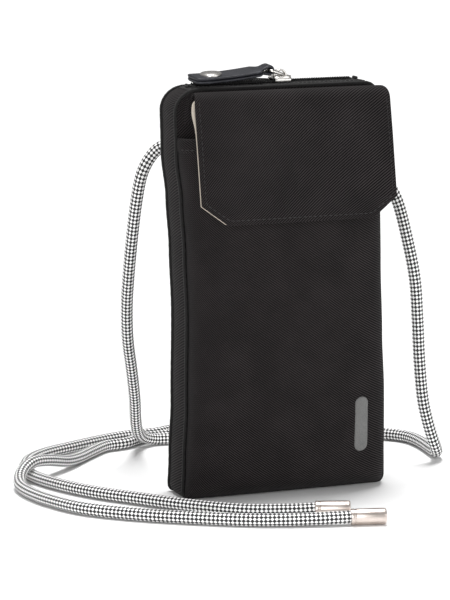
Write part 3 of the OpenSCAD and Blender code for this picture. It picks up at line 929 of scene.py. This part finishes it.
def drill(obj, centres, radius):
    """Cuts round holes through a panel that faces Y by pushing nearby points on to the circle."""
    bm = bmesh.new()
    bm.from_mesh(obj.data)
    for cx, cz in centres:
        away = {v: math.hypot(v.co.x / MM - cx, v.co.z / MM - cz) for v in bm.verts}
        inside = [v for v, d in away.items() if d < radius * 0.55]
        near = [v for v, d in away.items() if radius * 0.55 <= d < radius + 1.5]
        if inside:
            bmesh.ops.delete(bm, geom=inside, context="VERTS")
        for v in near:
            if v.is_valid and v.is_boundary:
                dx, dz = v.co.x / MM - cx, v.co.z / MM - cz
                d = math.hypot(dx, dz)
                v.co.x = (cx + dx * radius / d) * MM
                v.co.z = (cz + dz * radius / d) * MM
    bm.to_mesh(obj.data)
    bm.free()


def make_piping():
    ring = outline()

    def wrinkle(turn, run):
        return 0.05 * math.sin(run * 2.4 + 6 * math.sin(turn * 6.28))

    seams = (("front_binding", "front_piping", SEAM_Y), ("back_binding", "back_piping", BACK_Y - 0.8))
    for name, node, y in seams:
        line = [Vector((x + nx * -0.1, y, max(0.75, z + nz * -0.1))) for x, z, nx, nz in ring]
        obj = tube(name, line, 0.78, ["binding"], "piping", "pouch", closed=True, relief=wrinkle)
        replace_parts(obj, node)


# The pocket's profile from the side, as (height, reach in front of the seam)
SIDE_PROFILE = [
    (0.25, 0.3), (0.35, 1.4), (0.9, 3.0), (1.9, 5.4), (3.2, 7.7), (4.4, 9.2), (6.0, 10.8), (9.0, 12.6),
    (14.0, 14.1), (30.0, 15.2), (50.0, 15.5), (100.0, 15.5), (145.0, 15.4), (160.0, 14.0), (167.0, 12.9),
    (174.0, 12.0),
]


def pocket_reach(z):
    """How far the pocket reaches in front of the seam at one height, from the profile's points."""
    profile = SIDE_PROFILE[2:]
    z = min(max(z, profile[0][0]), profile[-1][0])
    for (z0, d0), (z1, d1) in zip(profile, profile[1:]):
        if z <= z1:
            t = (z - z0) / (z1 - z0)
            return d0 + (d1 - d0) * t
    return profile[-1][1]


def plan_depth(u):
    return max(0.0, 1 - abs(u) ** 4.7) ** (1 / 3)


def pocket_point(u, z, reach, out=0.0):
    """A point of the pocket's face: u runs from -1 at its left edge to 1 at its right."""
    w = half_width(z, POCKET_HALF, POCKET_R, 0.01, 400) + out
    return (w * u, SEAM_Y - (reach + out) * plan_depth(u), z)


PLAN_STEPS = 56


def plan_stations():
    out = []
    for k in range(PLAN_STEPS + 1):
        out.append(power(math.cos(math.pi * (1 - k / PLAN_STEPS)), 0.62))
    return out


def make_pocket():
    stations = plan_stations()
    heights = crowded(70, 4.4, POCKET_TOP, 1.25)
    profile = SIDE_PROFILE[:5] + [(z, pocket_reach(z)) for z in heights]
    rows = []
    for z, reach in profile:
        row = []
        for u in stations:
            x, y, zz = pocket_point(u, z, reach)
            soft = 0.3 * ripple(x, 0, z, 30, 11) * min(1, z / 15) * (1 - abs(u) ** 6)
            row.append((x, y + soft, zz))
        rows.append(row)
    obj = grid("pocket_shell", rows, ["twill_front", "lining"], "twill", "pouch", outward=(0, 0, 98))

    def pinned(p):
        snap = math.hypot(p.x - FLAP_SHIFT, p.z - SNAP_Z)
        return p.z < 6 or p.z > POCKET_TOP - HEM_H - 3 or p.y > SEAM_Y - 5 or snap < 8

    inflate(obj, pinned, 1.1)
    surface = BVHTree.FromPolygons([v.co for v in obj.data.vertices], [p.vertices for p in obj.data.polygons])
    thicken(obj, 1.7, inner=1)
    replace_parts(obj, "pocket_panel", "pocket_lining")

    def front_of(x, z):
        hit = surface.ray_cast(Vector((x, -80, z)) * MM, Vector((0, 1, 0)))[0]
        return hit.y / MM

    return front_of


def make_hem():
    stations = plan_stations()
    top = POCKET_TOP
    levels = [
        (top - HEM_H - 0.3, -0.15), (top - HEM_H, 0.3), (top - HEM_H + 0.8, 0.55), (top - 3, 0.6),
        (top - 1, 0.58), (top + 0.1, 0.4), (top + 0.45, -0.4), (top + 0.4, -1.2), (top + 0.05, -1.95),
        (top - 1, -2.2), (top - 4, -2.25), (top - 4.6, -1.9),
    ]
    rows = []
    for z, out in levels:
        row = []
        for u in stations:
            x, y, zz = pocket_point(u, z, pocket_reach(z), out)
            pucker = 0.07 * math.sin(x * 2.1) if abs(z - top + HEM_H) < 1 else 0
            row.append((x, min(y, SEAM_Y - 0.3) + pucker, zz + 0.15 * ripple(x, 0, z, 16, 21)))
        rows.append(row)
    obj = grid("pocket_hem_band", rows, ["twill_front"], "twill", "pouch", outward=(0, 0, top - 3))
    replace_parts(obj, "pocket_hem")
    z = top - HEM_H + 1.3
    path = [Vector(pocket_point(u, z, pocket_reach(z), 0.62)) for u in stations[3:-3]]
    stitches("pocket_hem_stitching", path, lambda p: (p.x / 30, -1, 0), "pouch")


def make_patch(front_of):
    """A plain raised rubber bar with round ends near the pocket's right edge."""
    cx, r = BAR_X, BAR_R
    z0, z1 = BAR_Z + r, BAR_Z + BAR_L - r
    rows = []
    steps = 40
    for i in range(steps + 1):
        t = i / steps
        z = z0 - r + (z1 - z0 + 2 * r) * (1 - math.cos(math.pi * t)) / 2
        over = max(z0 - z, z - z1, 0)
        w = math.sqrt(max(0.0001, r * r - over * over))
        row = []
        for k in range(13):
            u = crowd(2 * k / 12 - 1, 1.6)
            x = cx + w * u
            rim = min(w - abs(w * u), r - over if over else r)
            lift = 0.5 * (1 - math.exp(-max(rim, 0) / 0.25)) + 0.02
            row.append((x, front_of(x, z) - lift, z))
        rows.append(row)
    obj = grid("front_patch_bar", rows, ["patch"], "patch", "pouch", outward=(cx, 0, 35))
    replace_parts(obj, "front_patch")


def make_snaps():
    base = SEAM_Y - POCKET_OUT
    turn = Matrix.Rotation(math.radians(90), 4, "X")
    socket = [
        (2.3, 0.5), (2.4, 1.0), (2.7, 1.2), (3.4, 1.15), (3.9, 0.75), (4.6, 0.7), (5.2, 0.55),
        (SNAP_R, 0.2), (SNAP_R, 0.0), (2.3, 0.0), (2.3, 0.5),
    ]
    at = Matrix.Translation((FLAP_SHIFT, base, SNAP_Z)) @ turn
    obj = revolve("snap_socket_ring", socket, at, "metal", "metal", "pouch", 48)
    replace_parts(obj, "snap_socket")
    s = (SNAP_Z - FLAP_LOW) / math.cos(FLAP_LEAN)
    at = Vector(flap_point(FLAP_SHIFT, s, FLAP_T))
    stud = [
        (0, 1.35), (1.0, 1.3), (1.5, 1.1), (1.55, 0.9), (1.3, 0.75), (2.6, 0.7), (4.6, 0.55),
        (SNAP_R - 0.1, 0.25), (SNAP_R, 0.0), (0.0, -0.1),
    ]
    turn = Matrix.Rotation(math.radians(-90) - FLAP_LEAN, 4, "X")
    obj = revolve("snap_stud_post", stud, Matrix.Translation(at) @ turn, "metal", "metal", "flap", 48)
    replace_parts(obj, "snap_stud")


def make_inside():
    """The compartment's lining, the card slots, the foam and the hinge tape."""
    inset, top = 2.0, HEIGHT - 6
    front_y, back_y = SEAM_Y + 1.75, BACK_Y - 2 * PANEL_T - 0.1
    ring = [p for p in outline() if p[1] < top]
    depths = [front_y + (back_y - front_y) * k / 8 for k in range(9)]
    rows = []
    for y in depths:
        row = []
        for x, z, nx, nz in ring:
            row.append((x - nx * inset, y, z - nz * inset + 0.1 * ripple(x, y, z, 12, 2)))
        rows.append(row)
    shell = grid("compartment_lining_shell", rows, ["lining"], "lining", "pouch")
    for y, seed in ((front_y, 31), (back_y, 37)):

        def uneven(x, z):
            return y + (0.15 * ripple(x, 0, z, 18, seed)) * min(1, edge_distance(x, z) / 8)

        face = panel_rows(inset, uneven, crowded(30, inset, top), 16)
        join(shell, grid("lining_face", face, ["lining"], None, None))
    thicken(shell, 0.3, offset=0)
    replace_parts(shell, "compartment_lining")

    whole = None
    for k in range(3):
        y = SEAM_Y + PANEL_T + 0.5 + 0.6 * (k + 1)
        high = 96 - 12 * k
        rows = []
        levels = [
            (22, -0.3), (22.4, 0), (high - 5, 0.0), (high - 4, 0.12), (high - 0.6, 0.14), (high, 0.0),
            (high - 0.3, -0.3),
        ]
        for z, out in levels:
            rows.append([(-44 + 88 * i / 40, y + out + 0.05 * ripple(i, k, z, 7, 4), z) for i in range(41)])
        part = grid("card_slot_sheets", rows, ["lining"], "lining", "pouch")
        whole = part if whole is None else join(whole, part)
    thicken(whole, 0.3, offset=0)
    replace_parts(whole, "card_slots")

    heights = crowded(24, 2.8, HEIGHT - 2.8)
    rows = panel_rows(2.8, lambda x, z: BACK_Y - PANEL_T - 0.2 + 0.1 * ripple(x, 0, z, 15, 6), heights, 16)
    pad = grid("back_foam", rows, ["foam"], "foam", "pouch", outward=(0, -5, 98))
    drill(pad, [(s * EYELET_X, EYELET_Z) for s in (-1, 1)], 6.2)
    thicken(pad, 1.3)
    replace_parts(pad, "back_padding")

    rows = []
    for k in range(9):
        z = 181 + 13 * k / 8
        rows.append([(-48 + 96 * i / 48, SEAM_Y - 0.62 + 0.04 * math.sin(i * 2), z) for i in range(49)])
    tape = grid("flap_seam_tape", rows, ["twill"], "piping", "pouch", outward=(0, 5, 187))
    thicken(tape, 0.4)
    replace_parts(tape, "flap_hinge_tape")


# ---- flap ----

ARC_END = math.pi - FLAP_LEAN
TANGENT_Z = HINGE_Z + FLAP_R * math.sin(ARC_END)
TANGENT_Y = HINGE_Y + FLAP_R * math.cos(ARC_END)
FLAT_L = (TANGENT_Z - FLAP_LOW) / math.cos(FLAP_LEAN)
ARC_L = FLAP_R * (ARC_END - FLAP_SEAM)
FLAP_L = FLAT_L + ARC_L


def flap_point(x, s, inside):
    """A point of the flap, s up from its low edge along its outer face and inside below that face."""
    sunk = FOLD_DROP * ease(unit((s - FLAT_L) / 22 + 1))
    if s < FLAT_L:
        y = TANGENT_Y - (FLAT_L - s) * math.sin(FLAP_LEAN)
        z = FLAP_LOW + s * math.cos(FLAP_LEAN) - sunk
        return (x, y + inside * math.cos(FLAP_LEAN), z - inside * math.sin(FLAP_LEAN))
    a = ARC_END - (s - FLAT_L) / FLAP_R
    r = FLAP_R - inside
    return (x, HINGE_Y + r * math.cos(a), HINGE_Z + r * math.sin(a) - sunk)


def flap_half(s):
    """Half the flap's width: cut corners below, slightly drawn in over the fold."""
    cut = FLAP_CUT_H / math.cos(FLAP_LEAN)
    over = max(0.0, s - FLAT_L + 2)
    w = FLAP_HALF - 1.6 * min(1, over / 9) ** 2
    return w - (FLAP_CUT_W * (1 - s / cut) if s < cut else 0)


def flap_rows(inside, inset=0.0, s0=0.0, s1=None, spread=None):
    """Rows of points over the flap. spread adds width at a place, and the face dips a little at its edges."""
    cut = FLAP_CUT_H / math.cos(FLAP_LEAN)
    s1 = FLAP_L if s1 is None else s1
    stations = {s0}
    for low, high, parts in ((s0, cut, 6), (cut, FLAT_L, 26), (FLAT_L, s1, 16)):
        stations |= {low + (high - low) * k / parts for k in range(1, parts + 1)}
    rows = []
    for s in sorted(stations):
        w = flap_half(s) - inset
        row = []
        for k in range(53):
            u = crowd(2 * k / 52 - 1, 1.35)
            x = FLAP_SHIFT + w * u
            extra = spread(s, u) if spread else 0
            d = min(w * (1 - abs(u)), s + 0.01)
            dip = 0.28 * math.exp(-d / 0.9) - 0.35 * (1 - u * u) * math.sin(math.pi * min(1, s / FLAT_L))
            wave = 0.22 * ripple(x, 0, s, 26, 15) * (1 if s < FLAT_L else max(0, 1 - (s - FLAT_L) / 8))
            row.append(flap_point(x + extra, s, inside + dip + wave))
        rows.append(row)
    return rows


def fold(obj):
    """Takes the piece off any body and bakes its placement into its points."""
    obj.parent = None
    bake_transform(obj)


def make_flap():
    shell = grid("flap_twill", flap_rows(0.0), ["twill"], "twill", None, outward=(0, -5, 165))
    thicken(shell, SHELL_T)
    rounded(shell, 0.25, 2)
    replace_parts(shell, "flap_shell")
    fold(shell)

    rows = flap_rows(SHELL_T + 0.08, inset=3, s0=3, s1=FLAP_L - 1)
    board = grid("flap_stiffener", rows, ["board"], "foam", None, outward=(0, -5, 165))
    thicken(board, 0.5)
    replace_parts(board, "flap_board")
    fold(board)

    def slack(s, u):
        """The lining stands out a little past the shell's left edge below the fold, and tucks in over it."""
        high = math.exp(-(((s - 55) / 6.5) ** 2))
        tuck = ease(unit((s - 60) / 4))
        return -1.3 * high * max(0, (-u - 0.75) / 0.25) ** 2 - 2.2 * tuck * u**5

    rows = flap_rows(SHELL_T + BOARD_T, inset=0.05, s0=0.7, spread=slack)
    lining = grid("flap_lining_cloth", rows, ["beige"], "flap_lining", None, outward=(0, -5, 165))
    thicken(lining, FLAP_T - SHELL_T - BOARD_T)
    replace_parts(lining, "flap_lining")
    fold(lining)

    inset = 2.2
    cut = FLAP_CUT_H / math.cos(FLAP_LEAN)
    half = FLAP_HALF - inset
    top = FLAT_L + 1
    left = [(-half, top), (-half, cut + 0.8), (-half + FLAP_CUT_W - 0.9, inset)]
    corner = left + [(-x, s) for x, s in reversed(left)]
    path = []
    for (x0, s0), (x1, s1) in zip(corner, corner[1:]):
        parts = max(2, int(math.hypot(x1 - x0, s1 - s0) / 2))
        for k in range(parts):
            t = k / parts
            path.append(Vector(flap_point(FLAP_SHIFT + x0 + (x1 - x0) * t, s0 + (s1 - s0) * t, 0.0)))
    rowed = stitches("flap_stitching", path, lambda p: (0, -1, 0.17), None)
    fold(rowed)


# ---- zip ----


def row_gap(x):
    """The edge of a zip row from the middle line: apart where the zip is open, together past the slider."""
    if x > SLIDER_X + 3:
        return 0.0
    if x > SLIDER_X - 3:
        return OPEN_HALF * (SLIDER_X + 3 - x) / 6
    if x > -ZIP_HALF + 8:
        return OPEN_HALF
    return OPEN_HALF * max(0.0, (x + ZIP_HALF) / 8)


def make_zip():
    for sign, word in ((-1, "front"), (1, "back")):
        rows = []
        for t in (0.0, 0.04, 0.12, 0.3, 0.5, 0.7, 0.85, 0.96, 1.0):
            row = []
            for i in range(91):
                x = -45 + i
                inner = ZIP_Y + sign * (row_gap(x) + 0.15)
                outer = ZIP_Y + sign * 7.9
                lift = 0.05 * math.sin(x * 1.7 + t) - (0.3 if t in (0.0, 1.0) else 0)
                row.append((x, inner + (outer - inner) * t, TAPE_Z + lift - 0.15))
            rows.append(row)
        tape = grid(f"zip_tape_{word}_weave", rows, ["tape"], "tape", "pouch", outward=(0, ZIP_Y, 150))
        thicken(tape, 0.45)
        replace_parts(tape, f"zip_tape_{word}")
        path = [Vector((x, ZIP_Y + sign * 6.8, TAPE_Z - 0.1)) for x in range(-44, 45, 2)]
        stitches(f"zip_stitching_{word}", path, lambda p: (0, 0, 1), "pouch", pitch=2.2, length=1.6)

        line = []
        pitch, per_turn = 1.2, 12
        turns = int((2 * ZIP_HALF - 3) / pitch)
        for k in range(turns * per_turn + 1):
            t = k / per_turn
            x = -ZIP_HALF + 1.5 + pitch * (t + (0.5 if sign < 0 else 0))
            middle = ZIP_Y + sign * (row_gap(x) + 0.35)
            y = middle - sign * 0.65 * math.cos(2 * math.pi * t)
            z = TEETH_Z + 0.08 + 0.42 * math.sin(2 * math.pi * t)
            line.append(Vector((x + 0.12 * math.sin(4 * math.pi * t), y, z)))
        coil = tube(f"zip_coil_{word}", line, 0.3, ["coil"], "coil", "pouch", sides=7, side=(0, 1, 0.3))
        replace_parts(coil, f"zip_teeth_{word}")
        core = [Vector((x, ZIP_Y + sign * (row_gap(x) + 0.35), TEETH_Z - 0.15)) for x in range(-40, 42)]
        tube(f"zip_filler_{word}", core, 0.3, ["tape"], "coil", "pouch", sides=8)

    parts = []
    for s in (-1, 1):
        x = s * (ZIP_HALF + 1)
        rows = []
        for y in (-2.2, -2.05, -1.2, 0, 1.2, 2.05, 2.2):
            size = 0.75 if abs(y) > 2.1 else 1.0
            row = []
            for a in round_angles(12):
                z = TEETH_Z + 0.05 + 0.72 * size * math.sin(a)
                row.append((x + 0.7 * size * math.cos(a), ZIP_Y + y, z))
            rows.append(row)
        parts.append(loft("zip_stops", rows, ["coil"], "metal", "pouch"))
    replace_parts(join(*parts), "zip_end_stops")


def make_slider():
    z0, z1 = PLATE_Z, PLATE_Z + 1.2
    bm_faces, verts = [], []
    half_l, half_w = 5.0, 5.5
    shape = []
    for k in range(48):
        a = 2 * math.pi * k / 48
        c, s = math.cos(a), math.sin(a)
        x = half_l * power(c, 0.55)
        y = half_w * power(s, 0.55) * (1 - 0.1 * max(0, -x / half_l))
        shape.append((SLIDER_X + x, ZIP_Y + y))
    for z in (z0, z1):
        verts += [(x, y, z + (0.25 * (1 - ((y - ZIP_Y) / half_w) ** 2) if z == z1 else 0)) for x, y in shape]
    n = len(shape)
    bm_faces += [tuple(range(n - 1, -1, -1)), tuple(range(n, 2 * n))]
    bm_faces += [(k, (k + 1) % n, n + (k + 1) % n, n + k) for k in range(n)]
    plate = place("slider_plate", verts, bm_faces, None, ["metal"], "metal", "slider")
    for s in (-1, 1):
        rows = []
        for x in (-4, -3.8, -3, 0, 3, 3.8, 4):
            size = 0.7 if abs(x) > 3.9 else 1.0
            row = []
            for a in round_angles(12):
                y = FLANGE_Y * s + 0.35 * size * power(math.cos(a), 0.6)
                z = FLANGE_Z + 0.85 * size * power(math.sin(a), 0.6)
                row.append((SLIDER_X + x, ZIP_Y + y, z))
            rows.append(row)
        join(plate, loft("slider_flange", rows, ["metal"], None, None))
    rounded(plate, 0.3, 3)
    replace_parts(plate, "slider_body")

    sections = []
    for k in range(25):
        a = math.pi * k / 24
        x, z = -2.95 * math.cos(a), 3.0 * math.sin(a) ** 0.8
        t = Vector((math.sin(a) * 2.95, 0, 3.0 * math.cos(a))).normalized()
        up = Vector((-t.z, 0, t.x))
        centre = Vector((SLIDER_X + x, ZIP_Y, z1 - 0.15 + z))
        ring = []
        for j in range(16):
            b = 2 * math.pi * j / 16
            cy = power(math.cos(b), 0.6)
            cz = power(math.sin(b), 0.6)
            ring.append(tuple(centre + Vector((0, 1.3 * cy, 0)) + up * (0.5 * cz)))
        sections.append(ring)
    bridge = loft("slider_arch", sections, ["metal"], "metal", "slider")
    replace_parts(bridge, "slider_bridge")


def pull_frame():
    turn = Matrix.Rotation(PULL_YAW, 4, "Z") @ Matrix.Rotation(PULL_ROLL, 4, "X")
    return Matrix.Translation((SLIDER_X, ZIP_Y, PIVOT_Z)) @ turn


RING_RISE = math.radians(18)


def strap_frame():
    far = Matrix.Translation((-RING_L * math.cos(RING_RISE), 0, RING_L * math.sin(RING_RISE)))
    return pull_frame() @ far @ Matrix.Rotation(-PULL_DROOP, 4, "Y")


def make_pull():
    bend, steps = 1.6, 6
    line = []
    far, wide = bend - RING_L, RING_HALF - bend
    for qx, qy, a0 in ((-bend, wide, 0), (far, wide, 90), (far, -wide, 180), (-bend, -wide, 270)):
        for k in range(steps + 1):
            a = math.radians(a0 + 90 * k / steps)
            line.append(Vector((qx + bend * math.cos(a), qy + bend * math.sin(a), 0)))
    closed = []
    for a, b in zip(line, line[1:] + line[:1]):
        closed += [a.lerp(b, t / 3) for t in range(3)]
    turn = pull_frame() @ Matrix.Rotation(RING_RISE, 4, "Y")
    ring = tube(
        "pull_ring_wire", [turn @ p for p in closed], WIRE_R, ["metal"], "metal", "ring",
        sides=16, closed=True, side=(0, 0, 1),
    )
    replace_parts(ring, "pull_ring")

    place_in = strap_frame()
    layer, gap, fold_mid = 1.42, 0.06, 1.8
    mid = layer / 2 + gap
    path = []
    for k in range(61):
        path.append((-PULL_L + (PULL_L - 5) * k / 60, mid))
    for k in range(1, 9):
        t = k / 8
        path.append((-5 + 5 * t, mid + (fold_mid - mid) * ease(t)))
    for k in range(1, 16):
        a = math.pi / 2 - math.pi * k / 16
        path.append((fold_mid * math.cos(a), fold_mid * math.sin(a)))
    path += [(x, -z) for x, z in reversed(path[:69])]
    sections = []
    for i, (x, z) in enumerate(path):
        before, after = path[max(0, i - 1)], path[min(len(path) - 1, i + 1)]
        t = Vector((after[0] - before[0], 0, after[1] - before[1])).normalized()
        up = Vector((-t.z, 0, t.x))
        d = x + PULL_L
        if d < 3:
            w = PULL_HALF - 3 + math.sqrt(max(0, 9 - (3 - d) ** 2))
        elif x > -7:
            w = PULL_HALF + (NECK_HALF - PULL_HALF) * ease(min(1, (x + 7) / 4.2))
        else:
            w = PULL_HALF
        pinch = 0.93 if d < 0.2 else 1.0
        bow = -0.55 * math.sin(math.pi * min(1, max(0, d / PULL_L))) + 0.35 * max(0, 1 - d / 12) ** 2
        w *= 1 + 0.008 * ripple(x, 0, z, 6, 5)
        ring = []
        for j in range(28):
            b = 2 * math.pi * j / 28
            cy = power(math.cos(b), 0.28)
            cz = power(math.sin(b), 0.45)
            crown = 0.1 * (1 - cy * cy) * (1 if z > 0 else -1)
            p = Vector((x, w * cy, z + bow)) + up * (layer / 2 * cz * pinch)
            if 3 < d < PULL_L - 6:
                p.z += crown
            ring.append(tuple(place_in @ p))
        sections.append(ring)
    strap = loft("pull_strap_leather", sections, ["leather"], "leather", "strap")
    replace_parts(strap, "pull_leather")

    bow_at = -0.55 * math.sin(math.pi * (PULL_L - RIVET_IN) / PULL_L)
    r = RIVET_R
    top = [
        (0, 1.42), (1.6, 1.4), (3.0, 1.3), (3.9, 1.12), (4.05, 1.04), (4.2, 1.1), (r - 0.4, 0.98),
        (r - 0.1, 0.75), (r, 0.4), (r - 0.05, 0.05), (r - 0.4, -0.12), (0, -0.2),
    ]
    at = place_in @ Matrix.Translation((-RIVET_IN, 0, 1.5 + bow_at))
    cap = revolve("rivet_cap_disc", top, at, "metal", "metal", "strap")
    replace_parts(cap, "rivet_cap")
    low = [(0, 0.9), (2.6, 0.85), (3.2, 0.6), (3.5, 0.3), (3.45, 0.0), (3.2, -0.1), (0, -0.15)]
    under = place_in @ Matrix.Translation((-RIVET_IN, 0, -1.5 + bow_at)) @ Matrix.Rotation(math.pi, 4, "X")
    back = revolve("rivet_back_disc", low, under, "metal", "metal", "strap", 40)
    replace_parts(back, "rivet_back")


# ---- stage ----


def make_stage():
    mesh = bpy.data.meshes.new("floor")
    size = 12
    corners = [(x * size, y * size, -0.0002) for x, y in ((-1, -1), (1, -1), (1, 1), (-1, 1))]
    mesh.from_pydata(corners, [], [(0, 1, 2, 3)])
    floor = bpy.data.objects.new("floor", mesh)
    SCENE.collection.objects.link(floor)
    s = Shader("floor", 0.9, Specular_IOR_Level=0.0)
    tone = s.colours(s.noise(30, 2), (0.0, (0.9, 0.9, 0.9)), (1.0, (0.93, 0.93, 0.93)))
    mesh.materials.append(s.finish(tone))
    world = bpy.data.worlds.new("studio")
    world.use_nodes = True
    world.node_tree.nodes["Background"].inputs["Color"].default_value = (1, 1, 1, 1)
    world.node_tree.nodes["Background"].inputs["Strength"].default_value = 0.26
    SCENE.world = world
    sun = bpy.data.objects.new("sun", bpy.data.lights.new("sun", "SUN"))
    sun.data.energy, sun.data.angle = 3.1, math.radians(24)
    sun.rotation_euler = Vector((-0.04, -0.12, -1)).to_track_quat("-Z", "Y").to_euler()
    SCENE.collection.objects.link(sun)
    for name, at, size, power in (("key", (-0.9, -1.5, 0.55), 0.9, 12), ("fill", (1.0, -1.5, 0.6), 1.0, 7)):
        data = bpy.data.lights.new(name, "AREA")
        data.shape, data.size, data.energy = "DISK", size, power
        lamp = bpy.data.objects.new(name, data)
        SCENE.collection.objects.link(lamp)
        lamp.location = at
        lamp.rotation_euler = (AIM - Vector(at)).to_track_quat("-Z", "Y").to_euler()
    SCENE.view_settings.view_transform = "Standard"


SOFT_POUCH = [
    "gusset_skin", "middle_panel_skin", "back_panel_skin", "front_binding", "back_binding", "pocket_shell",
    "pocket_hem_band", "pocket_hem_stitching", "compartment_lining_shell", "back_foam", "front_patch_bar",
]
SOFT_ZIP = [
    "zip_tape_front_weave", "zip_tape_back_weave", "zip_stitching_front", "zip_stitching_back",
    "zip_coil_front", "zip_coil_back", "zip_filler_front", "zip_filler_back", "zip_stops", "flap_seam_tape",
]

make_camera()
make_cord("left", LEFT_ROUTE)
make_cord("right", RIGHT_ROUTE)
for word in ("left", "right"):
    make_knot(word)
    make_eyelet(word)
make_gusset()
make_panels()
make_piping()
front = make_pocket()
make_hem()
make_patch(front)
make_snaps()
make_inside()
make_zip()
round_corner(*(bpy.data.objects[n] for n in SOFT_POUCH + SOFT_ZIP))
relax(*(bpy.data.objects[n] for n in SOFT_POUCH))
make_flap()
make_slider()
make_pull()
make_stage()
base = frame["nodes"]["base_board"]
base.data.materials.clear()
base.data.materials.append(LOOK["board"])
